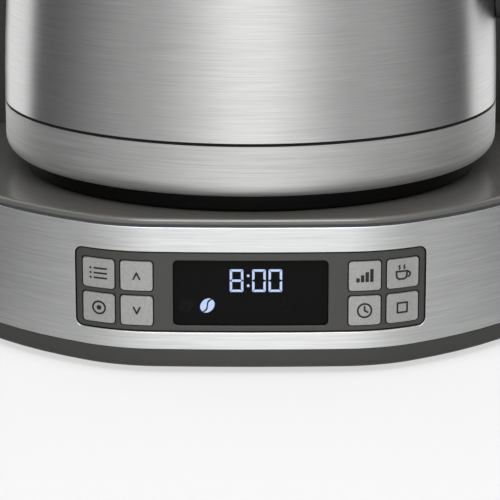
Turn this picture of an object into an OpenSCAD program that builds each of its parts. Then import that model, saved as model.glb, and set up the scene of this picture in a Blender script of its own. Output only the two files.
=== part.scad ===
// Drip coffee maker with a steel vacuum carafe, a swing-out filter holder and a
// control panel let into the front of its base.  Millimetres, +Z up, front is -Y.
// The origin is on the table, in the middle of the machine's width and depth.

/* [Plan] */
// Width of the machine
body_w = 224; // [216:1:240]
// Depth of the machine
body_d = 290; // [284:1:310]
// Radius of the gentle front curve
front_r = 540; // [450:10:700]
// Angle that the front curve covers on each side
front_a = 3.1; // [2.4:0.1:3.4]
// Radius of the bend between the front and the flanks
corner_r = 46; // [42:1:52]
// Angle at which that bend ends
corner_a = 30; // [28:1:34]
// Radius of the rear corners
rear_r = 36; // [30:1:44]

/* [Base] */
// Gap between the table and the base
foot_gap = 1.8; // [1.5:0.1:2.6]
// Height at which the steel band starts
band_z0 = 8; // [7.5:0.1:9]
// Height at which the steel band ends
band_z1 = 46; // [45:0.5:50]
// Thickness of the top cover
cover_t = 2.6; // [2.4:0.1:3.4]
// Thickness of the steel sheet
sheet_t = 0.8; // [0.6:0.1:1]
// Thickness of the moulded walls
wall = 2.2; // [1.8:0.1:2.6]
// Radius of the rubber feet
foot_r = 9; // [7:0.5:11]

/* [Control panel] */
// Half width of the opening in the steel
panel_hw = 53.4; // [53:0.1:54.5]
// Height of the opening's lower edge
panel_z0 = 13.3; // [12.8:0.1:13.8]
// Height of the opening's upper edge
panel_z1 = 38.4; // [37.8:0.1:39.5]
// Corner radius of the opening
panel_r = 2.3; // [1.5:0.1:3]
// Gap between the bezel and the steel
panel_gap = 0.5; // [0.3:0.05:0.6]
// How far the bezel sits behind the steel
bezel_set = 0.6; // [0.4:0.1:0.9]
// Half width of the display
display_hw = 23.5; // [21:0.5:25]
// Lower edge of the display
display_z0 = 15; // [14.6:0.1:15.6]
// Upper edge of the display
display_z1 = 35.8; // [35:0.1:36.2]
// Distance from the centre to the inner button column
button_x = 29.6; // [28.5:0.1:30]
// Width of a button
button_w = 9.7; // [9:0.1:9.9]
// Height of a button
button_h = 9; // [8.6:0.1:9.2]
// Pitch of the button columns
button_px = 11.6; // [11.4:0.1:11.8]
// Pitch of the button rows
button_pz = 10.8; // [10.6:0.1:11]
// Height of the lower buttons' lower edge
button_z = 15.4; // [15.2:0.1:15.8]
// Travel of a button
button_travel = 0.8; // [0.5:0.1:0.9]

/* [Carafe] */
// Distance from the base's front to the carafe's axis
carafe_set = 81.8; // [81:0.1:83]
// Radius of the body at the groove
carafe_r = 79.7; // [76:0.1:81]
// Radius of the black foot
carafe_foot_r = 72.8; // [68:0.1:74]
// Height of the black foot
carafe_foot_h = 5.4; // [5:0.1:7]
// Height of the groove above the table
groove_z = 70.8; // [68:0.1:74]
// Width of the groove
groove_h = 1; // [0.7:0.1:1.2]
// How much the body has narrowed at the shoulder
carafe_taper = 9.7; // [8:0.1:12]
// Height at which the shoulder starts
shoulder_z = 174; // [170:1:176]
// Height of the neck's rim
rim_z = 195.6; // [194:0.2:197]
// Outer radius of the neck
neck_r = 50; // [49:0.5:51]
// Inner radius of the neck
mouth_r = 44.5; // [43.5:0.5:45]
// Height of the carafe's lid above its rim
lid_h = 17.4; // [17:0.2:18]
// Distance from the axis to the handle's outer face
handle_reach = 111; // [106:0.5:111.5]
// Width of the handle
handle_w = 24; // [20:1:28]

/* [Column and head] */
// Radius of the bay around the carafe
bay_r = 88; // [86:0.5:90]
// Front of the column's two wings
wing_y = -2; // [-4:0.5:2]
// Height of the head's underside
head_z = 296; // [294:1:310]
// Height of the head
head_h = 48; // [44:1:60]
// Distance from the tank lid's well to the rear
lid_rear = 18.6; // [18:0.2:24]
// Underside of the filter holder
holder_z = 220; // [218:0.5:224]
// Outer radius of the filter basket's rim
basket_r = 64; // [60:0.5:66]
// Floor of the water tank
tank_z = 150; // [120:1:170]

/* [Hidden] */
$fn = 96;
eps = 0.01;
far = 400;

front_y = -body_d / 2;
rear_y = body_d / 2;
half_w = body_w / 2;
c1 = [0, front_y + front_r];
c2 = c1 + (front_r - corner_r) * [sin(front_a), -cos(front_a)];
flank_r = (half_w - c2[0] - corner_r * sin(corner_a)) / (1 - sin(corner_a));
c3 = c2 + (corner_r - flank_r) * [sin(corner_a), -cos(corner_a)];
c4 = [half_w - rear_r, rear_y - rear_r];

cover_z = band_z1 + cover_t;
head_top = head_z + head_h;
carafe_y = front_y + carafe_set;
floor_z = foot_gap + wall;
back_wall = sheet_t + wall;
skin_in = 2.2;
house_in = skin_in + sheet_t;
band_end_y = c4[1] - 11;

graphite = [0.29, 0.285, 0.27];
dark = [0.2, 0.195, 0.19];
steel = [0.78, 0.79, 0.79];
silver = [0.64, 0.63, 0.6];
black = [0.06, 0.06, 0.06];
green = [0.1, 0.35, 0.2];
clear = [0.75, 0.85, 0.9, 0.5];
silicone = [0.85, 0.84, 0.8];

// ---------------------------------------------------------------- outlines

// Points of an arc about c, its angle counted from the front towards +X.
function arc(c, r, a0, a1, n, first = 0) =
    [for (i = [first:n]) let (a = a0 + (a1 - a0) * i / n) [c[0] + r * sin(a), c[1] - r * cos(a)]];

function mirrored(v) = [for (i = [len(v) - 1:-1:0]) [-v[i][0], v[i][1]]];
function tail(v) = [for (i = [1:len(v) - 1]) v[i]];

// The right half of the plan's front with the first n steps of its flank, drawn in by inset.
flank_steps = 14;
function half_front(inset, n) = concat(
    arc(c1, front_r - inset, 0, front_a, 3),
    arc(c2, corner_r - inset, front_a, corner_a, 6, 1),
    arc(c3, flank_r - inset, corner_a, corner_a + n * (90 - corner_a) / flank_steps, n, 1));

// The right half of the whole plan, drawn in from its widest edge by inset.
function half_plan(inset) = concat(half_front(inset, flank_steps), arc(c4, rear_r - inset, 90, 180, 9));
function plan_points(inset) = concat(half_plan(inset), mirrored(tail(half_plan(inset))));

module plan(inset) polygon(plan_points(inset));

module plan_ring(outer, inner) difference() {
    plan(outer);
    plan(inner);
}

// The front of the plan only, as a curved strip between two insets.
function strip_half(inset) = half_front(inset, 3);
function front_line(inset) = concat(mirrored(strip_half(inset)), tail(strip_half(inset)));
module front_strip(outer, inner, z0, z1) translate([0, 0, z0]) linear_extrude(z1 - z0)
    polygon(concat(front_line(outer), [for (i = [len(front_line(inner)) - 1:-1:0]) front_line(inner)[i]]));

// A closed body through rings of the plan, each given as [height, inset].
module loft(rings) {
    n = len(plan_points(0));
    m = len(rings);
    points = [for (ring = rings) for (p = plan_points(ring[1])) [p[0], p[1], ring[0]]];
    sides = [for (k = [0:m - 2]) for (i = [0:n - 1]) let (j = (i + 1) % n)
        [k * n + i, (k + 1) * n + i, (k + 1) * n + j, k * n + j]];
    polyhedron(points, concat([[for (i = [0:n - 1]) i]], sides, [[for (i = [n - 1:-1:0]) (m - 1) * n + i]]));
}

// A rectangle with round corners.
function rrect(x0, x1, y0, y1, r, n = 4) = concat(
    arc([x1 - r, y0 + r], r, 0, 90, n), arc([x1 - r, y1 - r], r, 90, 180, n),
    arc([x0 + r, y1 - r], r, 180, 270, n), arc([x0 + r, y0 + r], r, 270, 360, n));

// The same with one radius in front and another behind.
function rrect_fb(x0, x1, y0, y1, rf, rb, n = 4) = concat(
    arc([x1 - rf, y0 + rf], rf, 0, 90, n), arc([x1 - rb, y1 - rb], rb, 90, 180, n),
    arc([x0 + rb, y1 - rb], rb, 180, 270, n), arc([x0 + rf, y0 + rf], rf, 270, 360, n));

module rbox(x0, x1, y0, y1, z0, z1, r) translate([0, 0, z0]) linear_extrude(z1 - z0)
    polygon(rrect(x0, x1, y0, y1, r));

// A prism along Y with a rounded section in X and Z.
module y_prism(x0, x1, z0, z1, r, y0 = front_y - 20, y1 = front_y + 40) translate([0, y1, 0]) rotate([90, 0, 0])
    linear_extrude(y1 - y0) polygon(rrect(x0, x1, z0, z1, r));

module at(points) for (p = points) translate([p[0], p[1], 0]) children();
module cyl(r, z0, z1) translate([0, 0, z0]) cylinder(r = r, h = z1 - z0);
module ring(ro, ri, z0, z1) translate([0, 0, z0]) linear_extrude(z1 - z0) difference() {
    circle(ro);
    circle(ri);
}
module x_cyl(r, x0, x1) translate([x0, 0, 0]) rotate([0, 90, 0]) cylinder(r = r, h = x1 - x0);
module y_cyl(r, y0, y1) translate([0, y1, 0]) rotate([90, 0, 0]) cylinder(r = r, h = y1 - y0);
module at_carafe() translate([0, carafe_y, 0]) children();

// A round bar or pipe along a bent line, with ball corners.
module bent_bar(points, r) for (i = [0:len(points) - 2]) {
    a = points[i];
    b = points[i + 1];
    d = b - a;
    len = norm(d);
    translate(a) rotate([0, acos(d[2] / len), atan2(d[1], d[0])]) cylinder(r = r, h = len, $fn = 32);
    if (i > 0) translate(a) sphere(r = r, $fn = 32);
}

// ---------------------------------------------------------------- base

// In from the side and the end, for the front pair and the rear pair.
foot_in = [[34, 53], [26, 27]];
foot_xy = [for (x = [-1, 1], end = [0, 1]) [x * (half_w - foot_in[end][0]),
    end == 0 ? front_y + foot_in[0][1] : rear_y - foot_in[1][1]]];
foot_pocket = 1.4;
boss_in = [[24, 105], [36, 67]];
boss_xy = [for (x = [-1, 1], end = [0, 1]) [x * (half_w - boss_in[end][0]),
    end == 0 ? front_y + boss_in[0][1] : rear_y - boss_in[1][1]]];
boss_r = 4.2;
base_screw_r = 1.5;
screw_head_r = 3;
screw_head_h = 1.6;

module rubber_feet() color(black) at(foot_xy) rotate_extrude()
    polygon([[0, 0], [foot_r - 1, 0], [foot_r, 1], [foot_r, foot_gap + foot_pocket], [0, foot_gap + foot_pocket]]);

skirt_in = 0.15;
function skirt_rings() = [[foot_gap, 2.6], [foot_gap + 0.35, 1.5], [foot_gap + 1, 0.75], [foot_gap + 2, 0.3],
    [foot_gap + 3.2, skirt_in], [band_z0, skirt_in]];
vent_n = 9;
vent_pitch = 7;

module base_pan() color(dark) difference() {
    union() {
        difference() {
            union() {
                loft(skirt_rings());
                translate([0, 0, band_z0 - eps]) linear_extrude(band_z1 - band_z0 + eps) plan(sheet_t);
            }
            translate([0, 0, floor_z]) linear_extrude(far) plan(back_wall);
            translate([-far, band_end_y, band_z0]) cube([2 * far, far, far]);
        }
        for (x = [-1, 1]) translate([x * (panel_hw - 2) - 4, board_y + board_t, floor_z - eps])
            cube([8, 3, panel_z1 - floor_z]);
    }
    y_prism(-panel_hw, panel_hw, panel_z0, panel_z1, panel_r, y1 = front_y + 20);
    at(foot_xy) cyl(foot_r, 0, foot_gap + foot_pocket);
    at(boss_xy) {
        cyl(screw_head_r + 0.2, 0, foot_gap + screw_head_h);
        cyl(base_screw_r + 0.2, 0, far);
    }
    for (i = [0:vent_n - 1]) translate([(i - (vent_n - 1) / 2) * vent_pitch, 20, 0])
        rbox(-1.5, 1.5, 0, 40, 0, far, 1.4);
    for (x = [-1, 1]) translate([x * (panel_hw - 2), 0, panel_z1 - 3]) y_cyl(board_screw_r, board_y, board_y + board_t + 2);
}

module base_screws() color(silver) at(boss_xy) {
    difference() {
        cyl(screw_head_r, foot_gap + 0.2, foot_gap + screw_head_h);
        translate([-screw_head_r, -0.4, foot_gap]) cube([2 * screw_head_r, 0.8, 0.9]);
    }
    cyl(base_screw_r, foot_gap + screw_head_h - eps, floor_z + 12);
}

module steel_band() color(steel) difference() {
    translate([0, 0, band_z0]) linear_extrude(band_z1 - band_z0) difference() {
        plan(0);
        plan(sheet_t);
        translate([-far, band_end_y]) square([2 * far, far]);
    }
    y_prism(-panel_hw, panel_hw, panel_z0, panel_z1, panel_r, y1 = front_y + 20);
}

gland_x = 60;
gland_z = 22;
gland_r = 6.5;
rear_slots = 7;

module rear_cover() color(dark) difference() {
    translate([0, 0, band_z0]) linear_extrude(band_z1 - band_z0) difference() {
        plan(0);
        plan(back_wall);
        translate([-far, band_end_y + 0.2 - 2 * far]) square(2 * far);
    }
    translate([gland_x, 0, gland_z]) y_cyl(gland_r, rear_y - 10, rear_y + 10);
    for (i = [0:rear_slots - 1]) y_prism(-50 + i * 9, -46 + i * 9, band_z0 + 8, band_z1 - 8, 1.9, rear_y - 10, rear_y + 10);
}

module cord_gland() color(black) translate([gland_x, 0, gland_z]) difference() {
    union() {
        y_cyl(gland_r, rear_y - back_wall, rear_y - 0.4);
        y_cyl(gland_r + 2, rear_y - back_wall - 1.8, rear_y - back_wall);
        y_cyl(gland_r - 1.5, rear_y - back_wall - 7, rear_y - back_wall - 1.7);
    }
    y_cyl(3.4, rear_y - 20, rear_y + 5);
}

seat_r = 71;
seat_t = 1.2;
cover_rings = [[band_z1, 1], [band_z1 + 0.9, 1], [band_z1 + 0.95, 0.35], [band_z1 + 1.4, 0.28], [cover_z - 0.75, 0.45],
    [cover_z - 0.3, 0.9], [cover_z - 0.08, 1.4], [cover_z, 2.2]];
pipe_r = 5;
outlet_in = [52, 85];
outlet_xy = [half_w - outlet_in[0], rear_y - outlet_in[1]];
riser_in = [19, 83];
riser_xy = [riser_in[0] - half_w, rear_y - riser_in[1]];

module base_top() color(graphite) difference() {
    union() {
        loft(cover_rings);
        at(boss_xy) cyl(boss_r, floor_z, band_z1 + eps);
    }
    at_carafe() cyl(seat_r, cover_z - seat_t, far);
    at(boss_xy) cyl(base_screw_r, 0, floor_z + 14);
    at([outlet_xy, riser_xy]) cyl(pipe_r + 1.5, band_z1 - 1, far);
}

module seat_pad() color(black) at_carafe() difference() {
    cyl(seat_r, cover_z - seat_t, cover_z);
    for (r = [20, 34, 48]) ring(r + 1, r, cover_z - 0.4, cover_z + 1);
}

// ---------------------------------------------------------------- control panel

flange = 3;
flange_t = 1.6;
flange_gap = 0.02;
bezel_back = back_wall + flange_t;
hole_gap = 0.4;
board_y = front_y + 21;
board_t = 1.6;
board_screw_r = 1.25;
button_set_in = 0.2;
key_flange = 0.65;
switch_h = 3.6;

// Places of the eight buttons: name of the place, column and row.
function key_x0(side, col) = side * (button_x + col * button_px + (side < 0 ? button_w : 0));
function key_z0(row) = button_z + row * button_pz;

module control_bezel() color(graphite) difference() {
    union() {
        intersection() {
            front_strip(bezel_set, back_wall + flange_gap + eps, panel_z0, panel_z1);
            y_prism(-panel_hw + panel_gap, panel_hw - panel_gap, panel_z0 + panel_gap, panel_z1 - panel_gap,
                panel_r - panel_gap);
        }
        intersection() {
            front_strip(back_wall + flange_gap, bezel_back, panel_z0 - flange, panel_z1 + flange);
            y_prism(-panel_hw - flange, panel_hw + flange, panel_z0 - flange, panel_z1 + flange, panel_r);
        }
    }
    y_prism(-display_hw, display_hw, display_z0, display_z1, 1.5);
    for (side = [-1, 1], col = [0, 1], row = [0, 1])
        y_prism(key_x0(side, col) - hole_gap, key_x0(side, col) + button_w + hole_gap,
            key_z0(row) - hole_gap, key_z0(row) + button_h + hole_gap, 1.1);
}

window_in = 2;
module display_window() color([0.05, 0.05, 0.06]) intersection() {
    front_strip(window_in, window_in + 1.6, display_z0 + 0.1, display_z1 - 0.1);
    y_prism(-display_hw + 0.1, display_hw - 0.1, display_z0 + 0.1, display_z1 - 0.1, 1.4);
}

module lcd_module() color([0.12, 0.14, 0.16]) {
    y_prism(-display_hw + 1, display_hw - 1, display_z0 + 1, display_z1 - 1, 0.5, front_y + 4.2, front_y + 7);
    for (x = [-1, 1], z = [display_z0 + 3, display_z1 - 5])
        translate([x * (display_hw - 5) - 1, front_y + 7 - eps, z]) cube([2, board_y - front_y - 7 + eps, 2]);
}

module control_board() color(green) difference() {
    translate([-panel_hw, board_y, panel_z0 - 4]) cube([2 * panel_hw, board_t, panel_z1 - panel_z0 + 6]);
    for (x = [-1, 1]) translate([x * (panel_hw - 2), 0, panel_z1 - 3]) y_cyl(board_screw_r, board_y - 1, board_y + 5);
}

module tact_switches() color(black) for (side = [-1, 1], col = [0, 1], row = [0, 1])
    translate([key_x0(side, col) + button_w / 2, board_y, key_z0(row) + button_h / 2]) {
        translate([-3, -switch_h, -3]) cube([6, switch_h, 6]);
        y_cyl(1.6, -switch_h - 1, -switch_h + eps);
    }

module board_screws() color(silver) for (x = [-1, 1]) translate([x * (panel_hw - 2), 0, panel_z1 - 3]) {
    y_cyl(2.4, board_y - 1.6, board_y);
    y_cyl(board_screw_r, board_y - eps, board_y + board_t + 2);
}

// The front edge of the plan at x, found on the arc that x lies on.
function front_at(x) = let (u = abs(x))
    u < c1[0] + front_r * sin(front_a) ? c1[1] - sqrt(pow(front_r, 2) - pow(u - c1[0], 2)) :
    u < c2[0] + corner_r * sin(corner_a) ? c2[1] - sqrt(pow(corner_r, 2) - pow(u - c2[0], 2)) :
    c3[1] - sqrt(pow(flank_r, 2) - pow(u - c3[0], 2));

// One button: a cap that follows the curved front, a flange behind the bezel and a stem.
stem_end = board_y - switch_h - 1 - button_travel - 0.3;
module key(side, col, row) color(silver) {
    x0 = key_x0(side, col);
    z0 = key_z0(row);
    cap_back = bezel_back + 0.4;
    intersection() {
        front_strip(button_set_in, cap_back + eps, z0, z0 + button_h);
        y_prism(x0, x0 + button_w, z0, z0 + button_h, 0.9);
    }
    intersection() {
        front_strip(cap_back, cap_back + 1.2, z0 - key_flange, z0 + button_h + key_flange);
        y_prism(x0 - key_flange, x0 + button_w + key_flange, z0 - key_flange, z0 + button_h + key_flange, 0.9);
    }
    translate([x0 + button_w / 2, 0, z0 + button_h / 2]) y_cyl(1.5, front_at(x0 + button_w / 2) + cap_back, stem_end);
}
module button_menu() key(-1, 1, 1);
module button_set() key(-1, 1, 0);
module button_up() key(-1, 0, 1);
module button_down() key(-1, 0, 0);
module button_strength() key(1, 0, 1);
module button_timer() key(1, 0, 0);
module button_brew() key(1, 1, 1);
module button_stop() key(1, 1, 0);

// ---------------------------------------------------------------- water path

heater_rear = 111;
heater_c = [0, rear_y - heater_rear];
heater_side = 68;
heater_r = half_w - heater_side;
heater_z = 24;
tube_r = 4.5;

module water_heater() color([0.75, 0.76, 0.77]) translate([heater_c[0], heater_c[1], heater_z]) {
    difference() {
        union() {
            rotate_extrude() translate([heater_r - 7, -7]) square([14, 14]);
            for (x = [-1, 1]) translate([x * heater_r, 0, 0]) y_cyl(tube_r, 0, heater_r + stub);
        }
        translate([-20, 10, -20]) cube([40, far, 40]);
    }
}

module heater_bracket() color(silver) for (a = [200, 270, 340])
    translate([heater_c[0] + heater_r * cos(a), heater_c[1] + heater_r * sin(a), floor_z]) {
        cyl(5, 0, heater_z - 7 - floor_z);
        cyl(8, 0, 1.2);
    }

module thermal_cutouts() color(black) for (a = [225, 315])
    translate([heater_c[0] + heater_r * cos(a), heater_c[1] + heater_r * sin(a), heater_z + 7]) {
        cyl(6, 0, 3);
        for (x = [-1, 1]) translate([x * 3 - 0.4, -1.5, 3 - eps]) cube([0.8, 3, 5]);
    }

stub = 10;
hose_bend = 12;
heater_out = [-heater_r, heater_c[1] + heater_r + stub, heater_z];
heater_in = [heater_r, heater_c[1] + heater_r + stub, heater_z];
riser_z = cover_z + 20;
valve_z = cover_z + 24;
valve_h = 22;

module outlet_hose() color(silicone) bent_bar([heater_out, heater_out + [0, hose_bend, 0],
    [riser_xy[0], heater_out[1] + hose_bend, heater_z], [riser_xy[0], riser_xy[1], heater_z],
    [riser_xy[0], riser_xy[1], riser_z]], pipe_r);

module inlet_hose() color(silicone) bent_bar([heater_in, heater_in + [0, hose_bend, 0],
    [outlet_xy[0], heater_in[1] + hose_bend, heater_z], [outlet_xy[0], outlet_xy[1], heater_z],
    [outlet_xy[0], outlet_xy[1], valve_z]], pipe_r);

module check_valve() color([0.9, 0.88, 0.8]) translate([outlet_xy[0], outlet_xy[1], 0]) {
    cyl(pipe_r + 3, valve_z, valve_z + valve_h);
    cyl(pipe_r, valve_z + valve_h - eps, tank_z);
}

shower_z = head_z + 12;
module riser_tube() color(silicone) bent_bar([[riser_xy[0], riser_xy[1], riser_z],
    [riser_xy[0], riser_xy[1], shower_z], [riser_xy[0], carafe_y + 10, shower_z],
    [0, carafe_y + 10, shower_z], [0, carafe_y + 10, head_z + 5]], pipe_r - 0.8);

// ---------------------------------------------------------------- column and tank

house_wall = 2.4;
tube_ro = 5.5;
tube_ri = 4.6;
tube_xy = [half_w - 13.5, 46];
slot_y = [tube_xy[1] - 5, tube_xy[1] + 5];
slot_z = [tank_z - 30, head_z - 14];
tank_wall = 2;
tank_in = house_in + house_wall + 1.6;
tank_x = [riser_xy[0] + pipe_r + 5, tube_xy[0] - tube_ro - 4];
tank_top = head_z - 4;
float_r = 4.2;

module wing_space(inset, gap) {
    translate([-far, -2 * far + wing_y - gap]) square(2 * far);
    translate([0, carafe_y]) circle(bay_r + inset);
}

module column_housing() color(dark) difference() {
    union() {
        translate([0, 0, cover_z]) linear_extrude(head_z - cover_z) difference() {
            plan(house_in);
            wing_space(0, 0);
            difference() {
                plan(house_in + house_wall);
                wing_space(house_wall, -house_wall);
            }
        }
        translate([0, 0, tank_z - 4]) linear_extrude(4) difference() {
            plan(house_in + house_wall - eps);
            wing_space(house_wall - eps, -house_wall + eps);
            translate(riser_xy) circle(pipe_r + 3);
            translate(outlet_xy) circle(pipe_r + 0.3);
            translate(tube_xy) circle(tube_ro + 0.3);
        }
    }
    translate([half_w - 20, slot_y[0], slot_z[0]]) cube([20, slot_y[1] - slot_y[0], slot_z[1] - slot_z[0]]);
}

module column_skin() color(steel) difference() {
    translate([0, 0, cover_z]) linear_extrude(head_z - cover_z) difference() {
        plan(skin_in);
        plan(house_in);
        translate([-far, -2 * far + wing_y + 6]) square(2 * far);
    }
    translate([half_w - 20, slot_y[0], slot_z[0]]) cube([20, slot_y[1] - slot_y[0], slot_z[1] - slot_z[0]]);
}

module level_window() color(clear)
    translate([half_w - house_in - house_wall, slot_y[0], slot_z[0]])
        cube([house_wall + sheet_t - 0.2, slot_y[1] - slot_y[0], slot_z[1] - slot_z[0]]);

module tank_plan(inset) difference() {
    intersection() {
        plan(tank_in + inset);
        polygon(rrect(tank_x[0] + inset, tank_x[1] - inset, wing_y + 4 + inset, rear_y, 8));
    }
    translate([0, carafe_y]) circle(bay_r + house_wall + 1.2 + inset);
}

module water_tank() color([0.35, 0.4, 0.42]) difference() {
    translate([0, 0, tank_z]) linear_extrude(tank_top - tank_z) tank_plan(0);
    translate([0, 0, tank_z + tank_wall]) linear_extrude(far) tank_plan(tank_wall);
    translate([outlet_xy[0], outlet_xy[1], 0]) cyl(3, 0, far);
}

module sight_tube() color(clear) translate([tube_xy[0], tube_xy[1], 0]) {
    difference() {
        cyl(tube_ro, slot_z[0] - 4, slot_z[1] + 4);
        cyl(tube_ri, slot_z[0] - 2, far);
    }
}

module level_float() color([0.85, 0.2, 0.1]) translate([tube_xy[0], tube_xy[1], slot_z[0] - 2 + 0.3 + float_r])
    sphere(r = float_r, $fn = 48);

// ---------------------------------------------------------------- head

head_in = 2;
top_wall = 2.5;
lid_side = 32;
lid_x = half_w - lid_side;
lid_y = [24, rear_y - lid_rear];
lid_corner = 8;
lid_gap = 0.4;
lid_t = 3.1;
knuckle_r = 2.6;
lid_swing = 4.4;
lid_axis = [lid_y[1] - lid_swing, head_top - knuckle_r - 0.2];
lid_pin_r = 1.25;
pin_gap = 0.05;
pin_xy = [9 - half_w, wing_y - 8];
pin_r = 2.5;
shower_r = 34;
shower_y = carafe_y;
band_head_z = [head_z + 3, head_top - 14];

head_rings = [[head_z, head_in + 2.2], [head_z + 0.8, head_in + 0.9], [head_z + 2.2, head_in + 0.2],
    [head_z + 3, head_in], [head_top - 9, head_in], [head_top - 5, head_in + 0.9], [head_top - 2.4, head_in + 2.6],
    [head_top - 0.7, head_in + 5.4], [head_top, head_in + 9]];

steam_n = 5;
steam_pitch = 5.5;
steam_y = carafe_y - 38;
steam_hw = 15;
chute_wall = 3;

// The well over the tank: round in front, square at the hinge.
module lid_well(grow, z0, z1) translate([0, 0, z0]) linear_extrude(z1 - z0)
    polygon(rrect_fb(-lid_x - grow, lid_x + grow, lid_y[0] - grow, lid_y[1] + grow, lid_corner + grow, 0.6 + grow));

module head_cap() color(graphite) difference() {
    union() {
        difference() {
            loft(head_rings);
            translate([0, 0, head_z + top_wall]) linear_extrude(head_top - 10 - head_z - top_wall)
                plan(head_in + sheet_t + wall);
            translate([0, 0, head_top - 10 - eps]) linear_extrude(10 - top_wall) plan(head_in + 12);
            translate([0, 0, band_head_z[0]]) linear_extrude(band_head_z[1] - band_head_z[0]) difference() {
                plan(head_in - 1);
                plan(head_in + sheet_t);
            }
        }
        lid_well(chute_wall, head_z, head_top - eps);
        translate([pin_xy[0], pin_xy[1], 0]) cyl(4.6, head_z + 1, head_z + 9);
    }
    lid_well(0, head_z - 1, head_top + 1);
    for (i = [0:steam_n - 1]) translate([0, steam_y + i * steam_pitch, 0])
        rbox(-steam_hw, steam_hw, -1.3, 1.3, head_top - 8, head_top + 1, 1.2);
    translate([0, shower_y, 0]) cyl(shower_r, head_z - 1, head_z + top_wall + 1);
    translate([riser_xy[0], riser_xy[1], 0]) cyl(pipe_r, head_z - 1, head_z + top_wall + 1);
    translate([pin_xy[0], pin_xy[1], 0]) cyl(pin_r, head_z - 1, head_z + 7);
    translate([0, lid_axis[0], lid_axis[1]]) {
        x_cyl(lid_pin_r, -lid_x - chute_wall, -lid_x + 1);
        x_cyl(lid_pin_r, lid_x - 1, lid_x + chute_wall);
    }
    translate([-14, lid_y[0] - 9, head_top - 6]) cube([28, 10, 7]);
}

module head_band() color(steel) translate([0, 0, band_head_z[0] + 0.05])
    linear_extrude(band_head_z[1] - band_head_z[0] - 0.1) plan_ring(head_in, head_in + sheet_t);

module tank_lid() color(graphite) difference() {
    union() {
        translate([0, 0, head_top - lid_t]) linear_extrude(lid_t) polygon(rrect_fb(-lid_x + lid_gap, lid_x - lid_gap,
            lid_y[0] + lid_gap, lid_axis[0], lid_corner - lid_gap, 0.2));
        translate([0, lid_axis[0], lid_axis[1]]) x_cyl(knuckle_r, -lid_x + lid_gap, lid_x - lid_gap);
        difference() {
            rbox(-lid_x + 6, lid_x - 6, lid_y[0] + 6, lid_axis[0] - 8, head_top - lid_t - 3, head_top - lid_t + eps, 5);
            rbox(-lid_x + 8, lid_x - 8, lid_y[0] + 8, lid_axis[0] - 10, head_top - far, head_top - lid_t, 4);
        }
    }
    translate([0, lid_axis[0], lid_axis[1]]) {
        x_cyl(lid_pin_r + pin_gap, -lid_x, -lid_x + 12);
        x_cyl(lid_pin_r + pin_gap, lid_x - 12, lid_x);
    }
}

module lid_hinge_pins() color(silver) translate([0, lid_axis[0], lid_axis[1]]) {
    x_cyl(lid_pin_r, -lid_x - chute_wall, -lid_x + 11);
    x_cyl(lid_pin_r, lid_x - 11, lid_x + chute_wall);
}

module shower_plate() color(black) translate([0, shower_y, 0]) difference() {
    union() {
        cyl(shower_r, head_z, head_z + 2);
        ring(shower_r + 4, shower_r - 3, head_z + top_wall, head_z + top_wall + 2);
        ring(shower_r, shower_r - 3, head_z + 1, head_z + top_wall + eps);
    }
    for (k = [0:11]) rotate(k * 30) translate([24, 0, 0]) cyl(1.2, head_z - 1, head_z + 3);
    for (k = [0:5]) rotate(k * 60) translate([12, 0, 0]) cyl(1.2, head_z - 1, head_z + 3);
}

module hinge_bracket() color(dark) difference() {
    union() {
        rbox(pin_xy[0] - 5, pin_xy[0] + 7, pin_xy[1] - 6, wing_y, holder_z - 6, holder_z - 1, 4.9);
        translate([pin_xy[0] - 5, pin_xy[1] + 2, holder_z - 6]) cube([12, wing_y - pin_xy[1] - 2, 5]);
    }
    translate([pin_xy[0], pin_xy[1], 0]) cyl(pin_r, holder_z - 7, holder_z);
}

module holder_hinge_pin() color(silver) translate([pin_xy[0], pin_xy[1], 0]) cyl(pin_r, holder_z - 6, head_z + 7);

// ---------------------------------------------------------------- filter holder

holder_in = 4;
holder_top = head_z - 2;
holder_wall = 2.4;
holder_bay_r = bay_r - 3;
valve_hole_r = 12;
basket_z = holder_z + 8;
basket_top = holder_top - 1;
basket_low_r = basket_r - 14;
basket_floor = 2.5;
holder_floor = 2.5;

module holder_plan(inset) difference() {
    plan(holder_in + inset);
    difference() {
        translate([-far, wing_y - 1 - inset]) square(2 * far);
        translate([0, carafe_y]) circle(holder_bay_r - inset);
    }
    translate([pin_xy[0] - 20, pin_xy[1]]) square([20, 20]);
}

grip_y = [pin_xy[1] - 12, pin_xy[1] + 3];
grip_depth = 5;
grip_z = [holder_z + 16, holder_top - 16];

module filter_holder() color(dark) difference() {
    union() {
        translate([half_w - holder_in - grip_depth - holder_wall, grip_y[0] - holder_wall, holder_z + eps])
            cube([grip_depth, grip_y[1] - grip_y[0] + 2 * holder_wall, holder_top - holder_z - 2 * eps]);
        difference() {
            translate([0, 0, holder_z]) linear_extrude(holder_top - holder_z) difference() {
                holder_plan(0);
                translate([pin_xy[0] - 20, pin_xy[1] - 6]) square([20 + 7, 30]);
            }
            translate([0, 0, holder_z + holder_floor]) linear_extrude(far) difference() {
                holder_plan(sheet_t + holder_wall);
                translate([pin_xy[0] - 20, pin_xy[1] - 14]) square([20 + 14, 40]);
            }
        }
        translate([pin_xy[0], pin_xy[1], holder_z]) {
            cylinder(r = 5, h = holder_top - holder_z);
            translate([-5, -8, 0]) cube([14, 8, holder_top - holder_z]);
        }
        at_carafe() ring(basket_low_r - 6, basket_low_r - 9, holder_z + 1, basket_z);
    }
    translate([pin_xy[0], pin_xy[1], 0]) cyl(pin_r + pin_gap, holder_z - 1, head_z);
    at_carafe() cyl(valve_hole_r, holder_z - 1, holder_z + 5);
    rbox(half_w - holder_in - grip_depth, half_w, grip_y[0], grip_y[1], grip_z[0], grip_z[1], 3);
    translate([0, 0, skin_z[0]]) linear_extrude(skin_z[1] - skin_z[0]) holder_skin_plan(1);
}

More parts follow.
